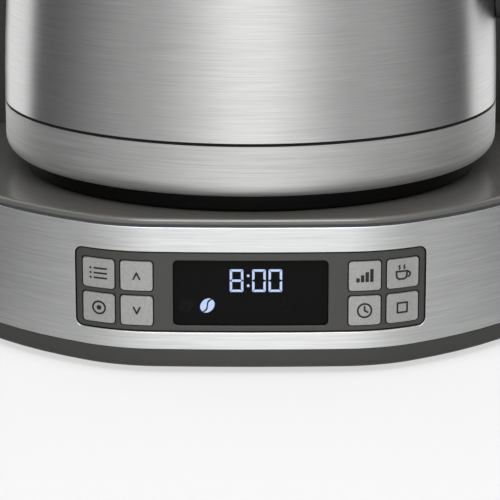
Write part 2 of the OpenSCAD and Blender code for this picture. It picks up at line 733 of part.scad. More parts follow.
skin_z = [holder_z + 3, holder_top - 3];
module holder_skin_plan(extra) difference() {
    plan(holder_in - extra);
    plan(holder_in + sheet_t);
    translate([-far, pin_xy[1] - 14]) square(2 * far);
}

module holder_skin() color(steel) translate([0, 0, skin_z[0] + 0.05])
    linear_extrude(skin_z[1] - skin_z[0] - 0.1) holder_skin_plan(0);

module filter_basket() color([0.3, 0.29, 0.28]) at_carafe() difference() {
    rotate_extrude() polygon([[0, basket_z], [basket_low_r, basket_z], [basket_low_r + 2, basket_z + 2],
        [basket_r, basket_top - 3], [basket_r + 4, basket_top - 3], [basket_r + 4, basket_top],
        [basket_r - 2, basket_top], [basket_low_r - 0.5, basket_z + basket_floor], [0, basket_z + basket_floor]]);
    cyl(4, basket_z - 1, basket_z + 4);
    for (k = [0:15]) rotate(k * 22.5) translate([20, 0, 0]) rbox(0, 22, -1, 1, basket_z + 1.5, basket_z + 3, 0.9);
}

valve_tip = holder_z - 5;
valve_flange_z = holder_z + holder_floor + 0.3;
module drip_valve() color(black) at_carafe() {
    cyl(6.5, valve_tip, valve_tip + 2);
    cyl(4.5, valve_tip + 2 - eps, valve_flange_z + eps);
    cyl(14, valve_flange_z, valve_flange_z + 1.2);
    cyl(3, valve_flange_z + 1, basket_z + basket_floor + 2);
    cyl(6.5, basket_z + basket_floor + 0.3, basket_z + basket_floor + 2);
}

module drip_spring() color(silver) at_carafe() ring(8, 7, valve_flange_z + 1.2, basket_z);

// ---------------------------------------------------------------- carafe

shell_z0 = groove_z + groove_h / 2;
foot_top = cover_z + carafe_foot_h;
shell_wall = 0.8;
shoulder_top = rim_z - 1.6;

// Outer radius of the body above the groove, at height z.
function body_radius(z) = carafe_r - carafe_taper * pow((z - groove_z) / (shoulder_z - groove_z), 2);
shoulder_r0 = body_radius(shoulder_z);
body_line = [for (i = [0:10]) let (z = shell_z0 + (shoulder_z - shell_z0) * i / 10) [body_radius(z), z]];
// The shoulder is a quarter of an oval, drawn in by t.
function shoulder_line(t) = concat([for (i = [1:10]) let (a = i * 9)
    [neck_r + (shoulder_r0 - neck_r - t) * cos(a), shoulder_z + (shoulder_top - shoulder_z - t) * sin(a)]],
    [[mouth_r + liner_wall + 0.2, shoulder_top - t]]);
function shell_line(t) = concat([for (p = body_line) p - [t, 0]], shoulder_line(t));
function backward(v) = [for (i = [len(v) - 1:-1:0]) v[i]];

module carafe_foot() color(black) at_carafe() rotate_extrude()
    polygon([[carafe_foot_r - 12, cover_z], [carafe_foot_r - 1.4, cover_z], [carafe_foot_r - 0.3, cover_z + 0.6],
        [carafe_foot_r, cover_z + 1.6], [carafe_foot_r, foot_top], [10, foot_top], [10, foot_top - 1.6],
        [carafe_foot_r - 12, foot_top - 1.6]]);

edge_r = 5.8;
band_wall = 1.4;
band_line = concat([[carafe_foot_r - 4, foot_top]],
    [for (i = [0:8]) let (a = i * 90 / 8) [carafe_r - edge_r + edge_r * sin(a), foot_top + edge_r * (1 - cos(a))]],
    [[carafe_r, groove_z - groove_h / 2]]);
module carafe_base_band() color(steel) at_carafe() rotate_extrude()
    polygon(concat(band_line, [[lip_r, groove_z - groove_h / 2], [lip_r, foot_top + edge_r + 1],
        [carafe_r - edge_r - 3, foot_top + 1], [0, foot_top + 1], [0, foot_top]]));

lip_r = carafe_r - band_wall;
lip_z = shell_z0 - groove_h - 4;
module carafe_shell() color(steel) at_carafe() rotate_extrude()
    polygon(concat(shell_line(0), backward(tail(shell_line(shell_wall))),
        [[lip_r - shell_wall, shell_z0 + 1], [lip_r - shell_wall, lip_z], [lip_r, lip_z], [lip_r, shell_z0]]));

liner_gap = 5;
liner_wall = 0.8;
liner_z = foot_top + 8;
liner_out = concat([[0, liner_z], [60, liner_z], [carafe_r - liner_gap - 6, liner_z + 3], [carafe_r - liner_gap - 1, liner_z + 11]],
    [for (i = [2:9]) body_line[i] - [liner_gap, 0]],
    [[shoulder_r0 - 8, shoulder_z - 1], [mouth_r + 8, shoulder_z + 10], [mouth_r + liner_wall, shoulder_z + 15],
    [mouth_r + liner_wall, shoulder_top]]);
liner_inn = concat([[mouth_r, rim_z], [mouth_r, shoulder_z + 14.5], [mouth_r + 7.4, shoulder_z + 9.4], [shoulder_r0 - 8.8, shoulder_z - 1.4]],
    [for (i = [9:-1:2]) body_line[i] - [liner_gap + liner_wall, 0]],
    [[carafe_r - liner_gap - 1.8, liner_z + 11.4], [carafe_r - liner_gap - 6.6, liner_z + 3.7], [59.8, liner_z + 0.8], [0, liner_z + 0.8]]);
module carafe_liner() color([0.7, 0.71, 0.72]) at_carafe() rotate_extrude()
    polygon(concat(liner_out, [[neck_r, shoulder_top], [neck_r, rim_z]], liner_inn));

collar_r = neck_r + 3.4;
collar_ri = mouth_r + 3.1;
collar_top = rim_z + 11;
module carafe_collar() color(black) at_carafe() difference() {
    union() {
        cyl(collar_r, rim_z, collar_top);
        hull() {
            translate([-neck_r + 6, 0, 0]) cyl(14, rim_z + 1, collar_top, $fn = 32);
            translate([-collar_r - 6, 0, 0]) cyl(3, collar_top - 3, collar_top, $fn = 32);
        }
    }
    cyl(collar_ri, rim_z - 1, far);
    hull() {
        translate([-neck_r + 6, 0, 0]) cyl(9, collar_top - 6, collar_top + 1, $fn = 32);
        translate([-collar_r - 5, 0, 0]) cyl(2, collar_top - 1, collar_top + 1, $fn = 32);
    }
}

handle_z = [97, collar_top - 1];
handle_screw_z = handle_z[0] + 5.5;
handle_screw_r = 2;
grip_t = 11.5;
arm_top = 12;
arm_low = 11;
lean = 4;
bend_top = 24;
bend_low = 19;
finger_top = 12;
finger_low = 9;

// The handle's side outline.
handle_line = let (x1 = handle_reach, x0 = handle_reach - lean, z0 = handle_z[0], z1 = handle_z[1]) concat(
    [[carafe_r - 12, z0]],
    arc([x0 - bend_low, z0 + bend_low], bend_low, 0, 90, 6),
    arc([x1 - bend_top, z1 - bend_top], bend_top, 90, 180, 7),
    [[neck_r - 3, z1], [neck_r - 3, z1 - arm_top]],
    backward(arc([x1 - grip_t - finger_top, z1 - arm_top - finger_top], finger_top, 90, 180, 6)),
    backward(arc([x0 - grip_t - finger_low, z0 + arm_low + finger_low], finger_low, 0, 90, 5)),
    [[carafe_r - 12, z0 + arm_low]]);
edge_out = 5;
edge_top = 4;

// The handle's solid: its side outline, with the outer and the top and bottom edges rounded.
module handle_body() intersection() {
    translate([0, handle_w / 2, 0]) rotate([90, 0, 0]) linear_extrude(handle_w) polygon(handle_line);
    rbox(0, handle_reach, -handle_w / 2, handle_w / 2, 0, far, edge_out);
    rotate([90, 0, 90]) linear_extrude(far)
        polygon(rrect(-handle_w / 2, handle_w / 2, handle_z[0], handle_z[1], edge_top));
}

module carafe_handle() color(black) at_carafe() difference() {
    handle_body();
    cyl(collar_r, rim_z - 10, far);
    translate([0, 0, handle_screw_z]) x_cyl(handle_screw_r, 0, handle_reach - lean - grip_t);
    rotate_extrude() polygon(concat([[0, shell_z0]], [for (p = shell_line(0)) p + [0.12, 0]], [[0, shoulder_top]]));
}

module handle_screws() color(silver) at_carafe() translate([0, 0, handle_screw_z])
    x_cyl(handle_screw_r, body_radius(handle_screw_z) + 0.3, handle_reach - lean - grip_t);

// ---------------------------------------------------------------- carafe lid

lid_r = mouth_r + 2.5;
lid_floor = rim_z + 0.3;
lid_top = rim_z + lid_h;
plug_r = mouth_r - 1.3;
chimney_r = 5;
pour_x = -24;
pour_r = 5.5;
lever_x = 14;
lever_z = lid_top - 6;
lever_pin_r = 1.5;
slot_hw = 10;

module carafe_lid() color(black) at_carafe() difference() {
    union() {
        rotate_extrude() polygon([[0, lid_floor], [lid_r, lid_floor], [lid_r, lid_top - 1.5], [lid_r - 1.5, lid_top],
            [0, lid_top], [0, lid_top - 2.5], [lid_r - 3, lid_top - 2.5], [lid_r - 3, lid_floor + 2.5], [0, lid_floor + 2.5]]);
        ring(plug_r, plug_r - 2.2, rim_z - 12, lid_floor + eps);
        cyl(chimney_r + 1.6, lid_floor, lid_top - 1);
        for (y = [-1, 1]) translate([lever_x - 4, y * (slot_hw + 2.5) - 1.5, lever_z - 4]) cube([8, 3, lid_top - lever_z + 2]);
    }
    ring(plug_r + 1, plug_r - 1, rim_z - 8, rim_z - 5.6);
    cyl(chimney_r, rim_z - 1, far);
    translate([0, 0, lid_top - 1.6]) cylinder(r1 = chimney_r, r2 = chimney_r + 3, h = 1.7);
    translate([pour_x, 0, 0]) {
        cyl(pour_r, rim_z - 1, lid_floor + 5);
        cyl(pour_r - 0.3, lid_top - 3, lid_top - 0.9);
    }
    rbox(chimney_r + 4, lid_r - 2, -slot_hw, slot_hw, lid_top - 4, lid_top + 1, 3);
    translate([lid_r - 12, -slot_hw, lid_top - 6.5]) cube([20, 2 * slot_hw, 10]);
    translate([-lid_r - 1, -8, lid_floor + 2.5]) cube([10, 16, 6]);
    translate([lever_x, 0, lever_z]) y_cyl(lever_pin_r, -slot_hw - 3.6, slot_hw + 3.6);
}

module lid_gasket() color([0.75, 0.3, 0.2]) at_carafe() ring(mouth_r - 0.3, plug_r - 1, rim_z - 8, rim_z - 5.6);

module pour_lever() color(silver) at_carafe() difference() {
    union() {
        rbox(chimney_r + 4.8, lid_r - 1, -slot_hw + 0.6, slot_hw - 0.6, lid_top - 2.6, lid_top, 2.5);
        translate([lever_x, 0, lever_z]) y_cyl(3, -slot_hw + 0.6, slot_hw - 0.6);
        translate([lever_x - 3, -slot_hw + 0.6, lever_z]) cube([6, 2 * slot_hw - 1.2, lid_top - lever_z - 1]);
        for (y = [-1, 1]) translate([pour_x - 3, y * 8.2 - 1.2, lever_z - 2.6]) cube([lever_x - pour_x + 3, 2.4, 2.4]);
        translate([pour_x - 3, -9.4, lever_z - 2.6]) cube([6, 18.8, 2.4]);
    }
    translate([lever_x, 0, lever_z]) y_cyl(lever_pin_r + pin_gap, -slot_hw, slot_hw);
    translate([pour_x, 0, 0]) cyl(2.7, 0, far);
    cyl(chimney_r + 2.4, 0, far);
}

module lever_pin() color(silver) at_carafe() translate([lever_x, 0, lever_z])
    y_cyl(lever_pin_r, -slot_hw - 3.6, slot_hw + 3.6);

module pour_valve() color([0.85, 0.3, 0.2]) at_carafe() translate([pour_x, 0, 0]) {
    cyl(8, lid_floor + 2.5, lid_floor + 4);
    cyl(2, lid_floor + 3, lever_z + 0.4);
    cyl(4, lever_z + 0.1, lever_z + 1.2);
}

// ---------------------------------------------------------------- pieces

rubber_feet();
base_pan();
base_screws();
steel_band();
rear_cover();
cord_gland();
base_top();
seat_pad();
control_bezel();
display_window();
lcd_module();
control_board();
tact_switches();
board_screws();
button_menu();
button_set();
button_up();
button_down();
button_strength();
button_timer();
button_brew();
button_stop();
water_heater();
heater_bracket();
thermal_cutouts();
inlet_hose();
check_valve();
outlet_hose();
riser_tube();
column_housing();
column_skin();
water_tank();
level_window();
sight_tube();
level_float();
head_cap();
head_band();
tank_lid();
lid_hinge_pins();
shower_plate();
hinge_bracket();
holder_hinge_pin();
filter_holder();
holder_skin();
filter_basket();
drip_valve();
drip_spring();
carafe_foot();
carafe_base_band();
carafe_shell();
carafe_liner();
carafe_collar();
carafe_handle();
handle_screws();
carafe_lid();
lid_gasket();
pour_lever();
lever_pin();
pour_valve();
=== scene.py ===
"""Finishes, signs and a small studio for a drip coffee maker."""

import math

import bmesh
import bpy
from bpy.props import FloatProperty, FloatVectorProperty, PointerProperty
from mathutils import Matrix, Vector, geometry


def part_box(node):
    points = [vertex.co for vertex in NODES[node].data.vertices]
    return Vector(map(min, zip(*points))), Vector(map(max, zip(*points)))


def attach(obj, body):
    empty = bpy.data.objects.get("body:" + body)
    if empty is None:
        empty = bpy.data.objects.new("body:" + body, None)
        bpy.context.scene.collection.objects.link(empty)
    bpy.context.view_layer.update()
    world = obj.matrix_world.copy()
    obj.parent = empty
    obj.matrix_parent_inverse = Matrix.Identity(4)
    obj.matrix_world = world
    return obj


bl_info = {
    "name": "Drip coffee maker finishes",
    "version": (1, 0, 0),
    "blender": (4, 5, 0),
    "location": "View3D > Sidebar > Coffee Maker",
    "description": "Brushed steel, moulded plastic, display signs and a studio for a drip coffee maker",
    "category": "Object",
}

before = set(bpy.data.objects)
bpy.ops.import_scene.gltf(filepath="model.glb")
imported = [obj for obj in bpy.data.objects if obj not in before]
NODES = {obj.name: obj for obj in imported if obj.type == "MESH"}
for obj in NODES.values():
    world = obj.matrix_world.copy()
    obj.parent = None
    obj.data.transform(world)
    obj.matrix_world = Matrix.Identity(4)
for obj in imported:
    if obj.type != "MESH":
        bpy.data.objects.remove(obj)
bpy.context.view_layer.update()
MM = 0.001


# ---------------------------------------------------------------- sizes and colours


def colour(name, description, default):
    """A colour property, in linear light."""
    return FloatVectorProperty(
        name=name, description=description, default=default, size=3, min=0.0, max=1.0, subtype="COLOR"
    )


def length(name, description, default):
    """A length property, in metres."""
    return FloatProperty(
        name=name, description=description, default=default, unit="LENGTH", subtype="DISTANCE"
    )


def number(name, description, default, low=0.0, high=1.0):
    """A plain number with its range."""
    return FloatProperty(name=name, description=description, default=default, min=low, max=high)


class SteelSettings(bpy.types.PropertyGroup):
    """The brushed sheet of the band, the skins and the carafe."""

    tint: colour("Tint", "Colour of the brushed carafe", (0.732, 0.73, 0.726))
    # Painted highlight: the sheet's tint is lighter than the carafe's, standing in for the brighter floor
    # the band and skins reflect.
    sheet_lit_tint: colour("Sheet tint", "Colour of the band and the skins", (0.88, 0.885, 0.885))
    inner_tint: colour("Inner tint", "Colour of the drawn steel inside the carafe", (0.62, 0.63, 0.64))
    roughness: number("Roughness", "Roughness of the brushing", 0.36)
    stretch: number("Stretch", "How far highlights stretch across the brushing", 0.85)
    line_pitch: length("Line pitch", "Width of one brush line", 0.22 * MM)
    line_run: length("Line run", "Length of one brush line", 17 * MM)


class MouldedSettings(bpy.types.PropertyGroup):
    """The moulded plastic parts."""

    graphite: colour("Graphite", "Warm grey of the head and its lid", (0.067, 0.0655, 0.0605))
    cover: colour("Cover", "Lighter grey of the base's top cover", (0.118, 0.116, 0.108))
    dark: colour("Dark", "Dark grey of the base pan, the column and the holder", (0.055, 0.054, 0.052))
    seam: colour("Seam", "Cool grey of the seam under the base cover", (0.058, 0.061, 0.067))
    # Painted shade: this cool dark grey fills the gap under the base cover, standing in for the shadow
    # there.
    black: colour("Black", "Black of the carafe's handle, collar and lid", (0.009, 0.009, 0.009))
    grain: length("Grain", "Size of the moulded texture", 0.35 * MM)
    edge: length("Edge", "Radius of the moulded edges", 0.4 * MM)


class PanelSettings(bpy.types.PropertyGroup):
    """The buttons and the display."""

    button: colour("Button", "Warm silver of the buttons", (0.4, 0.398, 0.39))
    bezel: colour("Bezel", "Warm grey of the bezel", (0.054, 0.053, 0.05))
    sign: colour("Sign", "Ink of the signs on the buttons", (0.01, 0.0098, 0.0095))
    glow: colour("Glow", "Light of the display's figures", (0.5, 0.63, 0.93))
    ghost: colour("Ghost", "Faint tone of the unlit figures", (0.0065, 0.0066, 0.0075))
    glass: colour("Glass", "Tone of the display window", (0.0035, 0.0035, 0.004))
    line: length("Line", "Width of the lines in the signs", 0.56 * MM)
    proud: length("Proud", "How far the ink stands off a button", 0.03 * MM)
    edge: length("Edge", "Radius of the buttons' edges", 0.45 * MM)


class StudioSettings(bpy.types.PropertyGroup):
    """The camera, the floor and the lamps."""

    elevation: number("Elevation", "Camera's angle above the horizon, in degrees", 14.49, 0.0, 90.0)
    distance: length("Distance", "From the camera to the point it looks at", 0.81)
    lens: number("Lens", "Focal length in millimetres on a 36 mm sensor", 194.4, 20.0, 400.0)
    aim: FloatVectorProperty(
        name="Aim", description="Point the camera looks at", default=(-0.0002, -0.145, 0.03925), size=3,
        unit="LENGTH", subtype="TRANSLATION",
    )
    floor: colour("Floor", "Colour of the floor", (0.92, 0.92, 0.92))
    floor_white: number("Floor white", "Share of plain white in the floor as it is seen", 0.62)
    key: number("Key", "Power in watts of the front lamp, which gloss does not see", 11.5, 0.0, 1000.0)
    strip: number("Strip", "Power in watts of the high lamp, which only gloss sees", 7.0, 0.0, 1000.0)
    sky: number("Sky", "Strength of the surrounding light", 0.5, 0.0, 4.0)
    tent_radius: length("Tent radius", "Distance from the part's middle to the tent's wall", 0.42)
    tent_height: length("Tent height", "Height of the tent's wall", 0.55)
    tent_light: number("Tent light", "Brightness of the tent straight in front", 0.8, 0.0, 4.0)
    tent_turn: number(
        "Tent turn", "How far the brightest part stands to the right, in degrees", 4.0, 0.0, 30.0
    )


class MakerSettings(bpy.types.PropertyGroup):
    """Everything a user can change, by group."""

    steel: PointerProperty(type=SteelSettings)
    moulded: PointerProperty(type=MouldedSettings)
    panel: PointerProperty(type=PanelSettings)
    studio: PointerProperty(type=StudioSettings)


def settings():
    """This scene's settings."""
    return bpy.context.scene.coffee_maker


def between(table, place):
    """The value at a place in a table of (place, value) rows."""
    for (low, first), (high, second) in zip(table, table[1:]):
        if place <= high:
            return first + (second - first) * (place - low) / (high - low)
    return table[-1][1]


# ---------------------------------------------------------------- node groups


def new_group(name, values):
    """An empty node group that turns a vector and some values into a tone, a roughness and a height."""
    group = bpy.data.node_groups.new(name, "ShaderNodeTree")
    group.interface.new_socket(name="Vector", in_out="INPUT", socket_type="NodeSocketVector")
    for label, default in values.items():
        socket = group.interface.new_socket(name=label, in_out="INPUT", socket_type="NodeSocketFloat")
        socket.default_value = default
    for label in ("Tone", "Roughness", "Height"):
        group.interface.new_socket(name=label, in_out="OUTPUT", socket_type="NodeSocketFloat")
    return group, group.nodes.new("NodeGroupInput"), group.nodes.new("NodeGroupOutput")


def set_inputs(node, values):
    """Sets inputs of a node by their labels."""
    for label, value in values.items():
        node.inputs[label].default_value = value


def lead_out(group, leave, **outputs):
    """Links values to the outputs of a node group."""
    for label, value in outputs.items():
        group.links.new(value, leave.inputs[label])


def math_node(tree, operation, *values):
    """A math node fed by sockets or numbers. Returns its output."""
    node = tree.nodes.new("ShaderNodeMath")
    node.operation = operation
    for socket, value in zip(node.inputs, values):
        if isinstance(value, (int, float)):
            socket.default_value = value
        else:
            tree.links.new(value, socket)
    return node.outputs[0]


def stretched_noise(tree, vector, scale, detail, rough=0.55):
    """Noise whose three axes have their own scale. Returns its factor."""
    mapping = tree.nodes.new("ShaderNodeMapping")
    mapping.inputs["Scale"].default_value = scale
    tree.links.new(vector, mapping.inputs["Vector"])
    noise = tree.nodes.new("ShaderNodeTexNoise")
    set_inputs(noise, {"Scale": 1.0, "Detail": detail, "Roughness": rough})
    tree.links.new(mapping.outputs["Vector"], noise.inputs["Vector"])
    return noise.outputs["Fac"]


def clouds(tree, vector, scale, detail):
    """Noise with one scale, in clouds to a metre. Returns its factor."""
    return stretched_noise(tree, vector, (scale, scale, scale), detail)


def centred(tree, factor, amount):
    """The factor about its middle, times amount, plus one."""
    shifted = math_node(tree, "SUBTRACT", factor, 0.5)
    return math_node(tree, "MULTIPLY_ADD", shifted, amount, 1.0)


def build_brushing():
    """Lines that run level round the part: a tone, a roughness and a height."""
    steel = settings().steel
    group, enter, leave = new_group(
        "Brushing", {"Fine tone": 0.12, "Streak tone": 0.06, "Gloss": 0.25, "Base roughness": 0.3}
    )
    vector = enter.outputs["Vector"]
    run, pitch = 1 / steel.line_run, 1 / steel.line_pitch
    lines = stretched_noise(group, vector, (run, run, pitch), 2.0)
    fine = math_node(group, "SUBTRACT", lines, 0.5)
    wide_run, wide_pitch = run * 0.4, pitch * 0.3
    bands = stretched_noise(group, vector, (wide_run, wide_run, wide_pitch), 3.0, 0.75)
    streak = math_node(group, "SUBTRACT", bands, 0.5)
    height = math_node(group, "ADD", fine, streak)
    tone = math_node(group, "MULTIPLY_ADD", fine, enter.outputs["Fine tone"], 1.0)
    tone = math_node(group, "MULTIPLY_ADD", streak, enter.outputs["Streak tone"], tone)
    gloss = math_node(group, "MULTIPLY_ADD", height, enter.outputs["Gloss"], 1.0)
    roughness = math_node(group, "MULTIPLY", gloss, enter.outputs["Base roughness"])
    lead_out(group, leave, Tone=tone, Roughness=roughness, Height=height)


def build_grain():
    """The spark-eroded grain of moulded plastic: a tone, a roughness and a height."""
    group, enter, leave = new_group("Moulded grain", {"Pitch": 2800.0, "Base roughness": 0.45, "Vary": 0.2})
    vector = enter.outputs["Vector"]
    grain = group.nodes.new("ShaderNodeTexVoronoi")
    grain.feature = "SMOOTH_F1"
    group.links.new(vector, grain.inputs["Vector"])
    group.links.new(enter.outputs["Pitch"], grain.inputs["Scale"])
    patches = clouds(group, vector, 30, 4.0)
    vary = centred(group, patches, enter.outputs["Vary"])
    roughness = math_node(group, "MULTIPLY", vary, enter.outputs["Base roughness"])
    tone = centred(group, patches, 0.1)
    lead_out(group, leave, Tone=tone, Roughness=roughness, Height=grain.outputs["Distance"])


# ---------------------------------------------------------------- materials


BRUSH_DEPTH = 0.002 * MM
QUARTER_TURN = 0.25
MOTTLES = 1400  # pale and dark spots to a metre of a mottled finish


def start_material(name):
    """A material with its Principled shader. Returns material, tree, shader."""
    material = bpy.data.materials.new(name)
    material.use_nodes = True
    tree = material.node_tree
    return material, tree, tree.nodes["Principled BSDF"]


def object_vector(tree):
    """The part's own coordinates, in metres."""
    return tree.nodes.new("ShaderNodeTexCoord").outputs["Object"]


def place_group(tree, name, vector, values):
    """An instance of a node group with its own values."""
    node = tree.nodes.new("ShaderNodeGroup")
    node.node_tree = bpy.data.node_groups[name]
    tree.links.new(vector, node.inputs["Vector"])
    set_inputs(node, values)
    return node


def tinted(tree, tint, tone):
    """The tint times a tone that changes over the surface."""
    mix = tree.nodes.new("ShaderNodeVectorMath")
    mix.operation = "SCALE"
    mix.inputs[0].default_value = tint
    tree.links.new(tone, mix.inputs["Scale"])
    return mix.outputs["Vector"]


def add_bump(tree, shader, height, distance):
    """Feeds a height into the shader's normal."""
    bump = tree.nodes.new("ShaderNodeBump")
    bump.inputs["Distance"].default_value = distance
    tree.links.new(height, bump.inputs["Height"])
    tree.links.new(bump.outputs["Normal"], shader.inputs["Normal"])


def brushed_steel(name, tint, roughness, fine=0.14, streak=0.05, stretch=None):
    """Sheet steel brushed level round the part, so its highlights stretch up and down."""
    material, tree, shader = start_material(name)
    lines = place_group(
        tree, "Brushing", object_vector(tree),
        {"Fine tone": fine, "Streak tone": streak, "Gloss": 0.3, "Base roughness": roughness},
    )
    tree.links.new(tinted(tree, tint, lines.outputs["Tone"]), shader.inputs["Base Color"])
    tree.links.new(lines.outputs["Roughness"], shader.inputs["Roughness"])
    stretch = settings().steel.stretch if stretch is None else stretch
    set_inputs(shader, {"Metallic": 1.0, "Anisotropic": stretch, "Anisotropic Rotation": QUARTER_TURN})
    tangent = tree.nodes.new("ShaderNodeTangent")
    tangent.direction_type = "RADIAL"
    tangent.axis = "Z"
    tree.links.new(tangent.outputs["Tangent"], shader.inputs["Tangent"])
    add_bump(tree, shader, lines.outputs["Height"], BRUSH_DEPTH)
    return material


def painted_edge_highlight(tree, tone, direction, gain):
    """Painted highlight: raises a tone by its gain where an edge turns towards a direction, standing in for
    the light those edges catch.
    """
    start, full = 0.3, 0.6
    facing = tree.nodes.new("ShaderNodeVectorMath")
    facing.operation = "DOT_PRODUCT"
    tree.links.new(tree.nodes.new("ShaderNodeNewGeometry").outputs["Normal"], facing.inputs[0])
    facing.inputs[1].default_value = direction
    ramp = tree.nodes.new("ShaderNodeMapRange")
    tree.links.new(facing.outputs["Value"], ramp.inputs["Value"])
    set_inputs(ramp, {"From Min": start, "From Max": full, "To Min": 0.0, "To Max": gain})
    return math_node(tree, "MULTIPLY_ADD", tone, ramp.outputs["Result"], tone)


def moulded(
    name, tint, roughness, specular=0.5, bump=0.02 * MM, pitch=None, vary=0.25, metallic=0.0,
    mottle=0.0, painted_highlight=None,
):
    """Moulded plastic with a fine grain, or metal with the same grain.

    Pitch is in grains to a metre. Mottle is the depth of the spots in its tone. The painted highlight is a
    direction and a gain: edges that turn towards it are painted lighter, standing in for the light they
    catch.
    """
    material, tree, shader = start_material(name)
    vector = object_vector(tree)
    scale = 1 / settings().moulded.grain if pitch is None else pitch
    grain = place_group(
        tree, "Moulded grain", vector, {"Pitch": scale, "Base roughness": roughness, "Vary": vary}
    )
    tone = grain.outputs["Tone"]
    if mottle > 0:
        spots = centred(tree, clouds(tree, vector, MOTTLES, 2.0), mottle)
        tone = math_node(tree, "MULTIPLY", tone, spots)
    # Painted highlight: a lighter tone on the edges that turn towards a direction.
    if painted_highlight:
        tone = painted_edge_highlight(tree, tone, *painted_highlight)
    tree.links.new(tinted(tree, tint, tone), shader.inputs["Base Color"])
    tree.links.new(grain.outputs["Roughness"], shader.inputs["Roughness"])
    set_inputs(shader, {"Specular IOR Level": specular, "Metallic": metallic})
    add_bump(tree, shader, grain.outputs["Height"], bump)
    return material


def bright_metal(name, tint, roughness):
    """Plated or cast metal with a faint cloud in its gloss."""
    return moulded(name, tint, roughness, bump=0.006 * MM, pitch=900, metallic=1.0)


def clear_plastic(name, tint):
    """Clear moulded plastic."""
    material = moulded(name, tint, 0.06, bump=0.002 * MM, pitch=500)
    shader = material.node_tree.nodes["Principled BSDF"]
    set_inputs(shader, {"Transmission Weight": 0.92, "IOR": 1.49})
    return material


def window_plastic(name, tint):
    """Glossy dark plastic of the display's window."""
    return moulded(name, tint, 0.16, specular=0.08, bump=0.0005 * MM, pitch=200)


def lit(name, tint):
    """A figure that shines on the display, a little uneven as a lit segment is."""
    material, tree, shader = start_material(name)
    tone = centred(tree, clouds(tree, object_vector(tree), 1800, 2.0), 0.35)
    tree.links.new(tinted(tree, tint, tone), shader.inputs["Emission Color"])
    unlit = (0.01, 0.012, 0.015, 1)
    set_inputs(shader, {"Base Color": unlit, "Emission Strength": 1.0, "Roughness": 0.3})
    return material


def share(name, make, *values, **options):
    """A finish that several pieces share, made the first time it is asked for."""
    return bpy.data.materials.get(name) or make(name, *values, **options)


def graphite():
    """Warm grey moulding."""
    return share(
        "Graphite plastic", moulded, settings().moulded.graphite, 0.46, specular=0.3, bump=0.012 * MM
    )


def dark():
    """Dark grey moulding."""
    return share("Dark plastic", moulded, settings().moulded.dark, 0.5, specular=0.3, bump=0.03 * MM)


def black():
    """Black moulding."""
    return share("Black plastic", moulded, settings().moulded.black, 0.36, bump=0.015 * MM)


def rubber():
    """Soft black rubber."""
    return share("Black rubber", moulded, (0.01, 0.01, 0.01), 0.8, specular=0.2, pitch=1800)


def plated():
    """Plated screws, pins and springs."""
    return share("Plated steel", bright_metal, (0.62, 0.62, 0.6), 0.24)


def silicone():
    """Milky hose."""
    return share("Silicone", moulded, (0.66, 0.64, 0.6), 0.45, bump=0.004 * MM, pitch=700)


# ---------------------------------------------------------------- dressing CAD nodes


SAME_CORNER = 0.002 * MM  # corners nearer than this are one


def dress(nodes, material, edge=0.0, smooth=35.0, segments=2, clamp=False):
    """Gives CAD nodes their material, a smooth shade and small rounded edges."""
    for name in nodes:
        obj = NODES[name]
        mesh = obj.data
        mesh.materials.clear()
        mesh.materials.append(material)
        custom = mesh.attributes.get("custom_normal")
        if custom:
            mesh.attributes.remove(custom)
        mesh.shade_smooth()
        weld = obj.modifiers.new("Joined corners", "WELD")
        weld.merge_threshold = SAME_CORNER
        if edge > 0:
            bevel = obj.modifiers.new("Rounded edges", "BEVEL")
            bevel.width = edge
            bevel.segments = segments
            bevel.limit_method = "ANGLE"
            bevel.angle_limit = math.radians(smooth)
            bevel.harden_normals = True
            bevel.use_clamp_overlap = clamp
        else:
            split = obj.modifiers.new("Sharp edges", "EDGE_SPLIT")
            split.split_angle = math.radians(smooth)
            split.use_edge_sharp = False


# ---------------------------------------------------------------- new pieces


def linked(name, data):
    """A new object in the scene."""
    obj = bpy.data.objects.new(name, data)
    bpy.context.scene.collection.objects.link(obj)
    return obj


def add_piece(name, mesh, material, body):
    """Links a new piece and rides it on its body."""
    obj = linked(name, mesh)
    mesh.materials.append(material)
    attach(obj, body)


def bridge(sheet, here, there):
    """Faces between two closed rows of vertices."""
    count = len(here)
    for i in range(count):
        after = (i + 1) % count
        sheet.faces.new([here[i], there[i], there[after], here[after]])


def as_mesh(sheet, name):
    """The mesh of a finished sheet, its faces turned outwards."""
    bmesh.ops.recalc_face_normals(sheet, faces=sheet.faces)
    mesh = bpy.data.meshes.new(name)
    sheet.to_mesh(mesh)
    sheet.free()
    return mesh


def turned_mesh(name, profile, centre, sides):
    """A closed (radius, height) outline turned about an upright axis."""
    sheet = bmesh.new()
    rings = []
    for k in range(sides):
        turn = 2 * math.pi * k / sides
        rings.append([
            sheet.verts.new((centre.x + r * math.cos(turn), centre.y + r * math.sin(turn), z))
            for r, z in profile
        ])
    for k in range(sides):
        bridge(sheet, rings[k], rings[(k + 1) % sides])
    mesh = as_mesh(sheet, name)
    mesh.shade_smooth()
    mesh.set_sharp_from_angle(angle=math.radians(35))
    return mesh


# ---------------------------------------------------------------- flat signs


SIGN_STEP = 1 * MM  # longest piece of a line that bends over a curve
LIP_STEP = 2 * MM  # the same for a lip


def ribbon(points, width):
    """Flat quads along a line of (x, z) points, cut short enough to bend over a curve."""
    quads = []
    for start, end in zip(points, points[1:]):
        start, end = Vector(start), Vector(end)
        run = end - start
        pieces = max(1, math.ceil(run.length / SIGN_STEP))
        side = Vector((-run.y, run.x)).normalized() * width / 2
        for index in range(pieces):
            a = start + run * index / pieces
            b = start + run * (index + 1) / pieces
            quads.append([a - side, b - side, b + side, a + side])
    return quads


def dot(centre, radius, sides=20):
    """A flat disc as one polygon."""
    turns = [2 * math.pi * k / sides for k in range(sides)]
    return [[Vector((centre[0] + radius * math.cos(a), centre[1] + radius * math.sin(a))) for a in turns]]


def round_line(points, width):
    """A ribbon with round ends and corners."""
    shapes = ribbon(points, width)
    for point in points:
        shapes += dot(point, width / 2, 14)
    return shapes


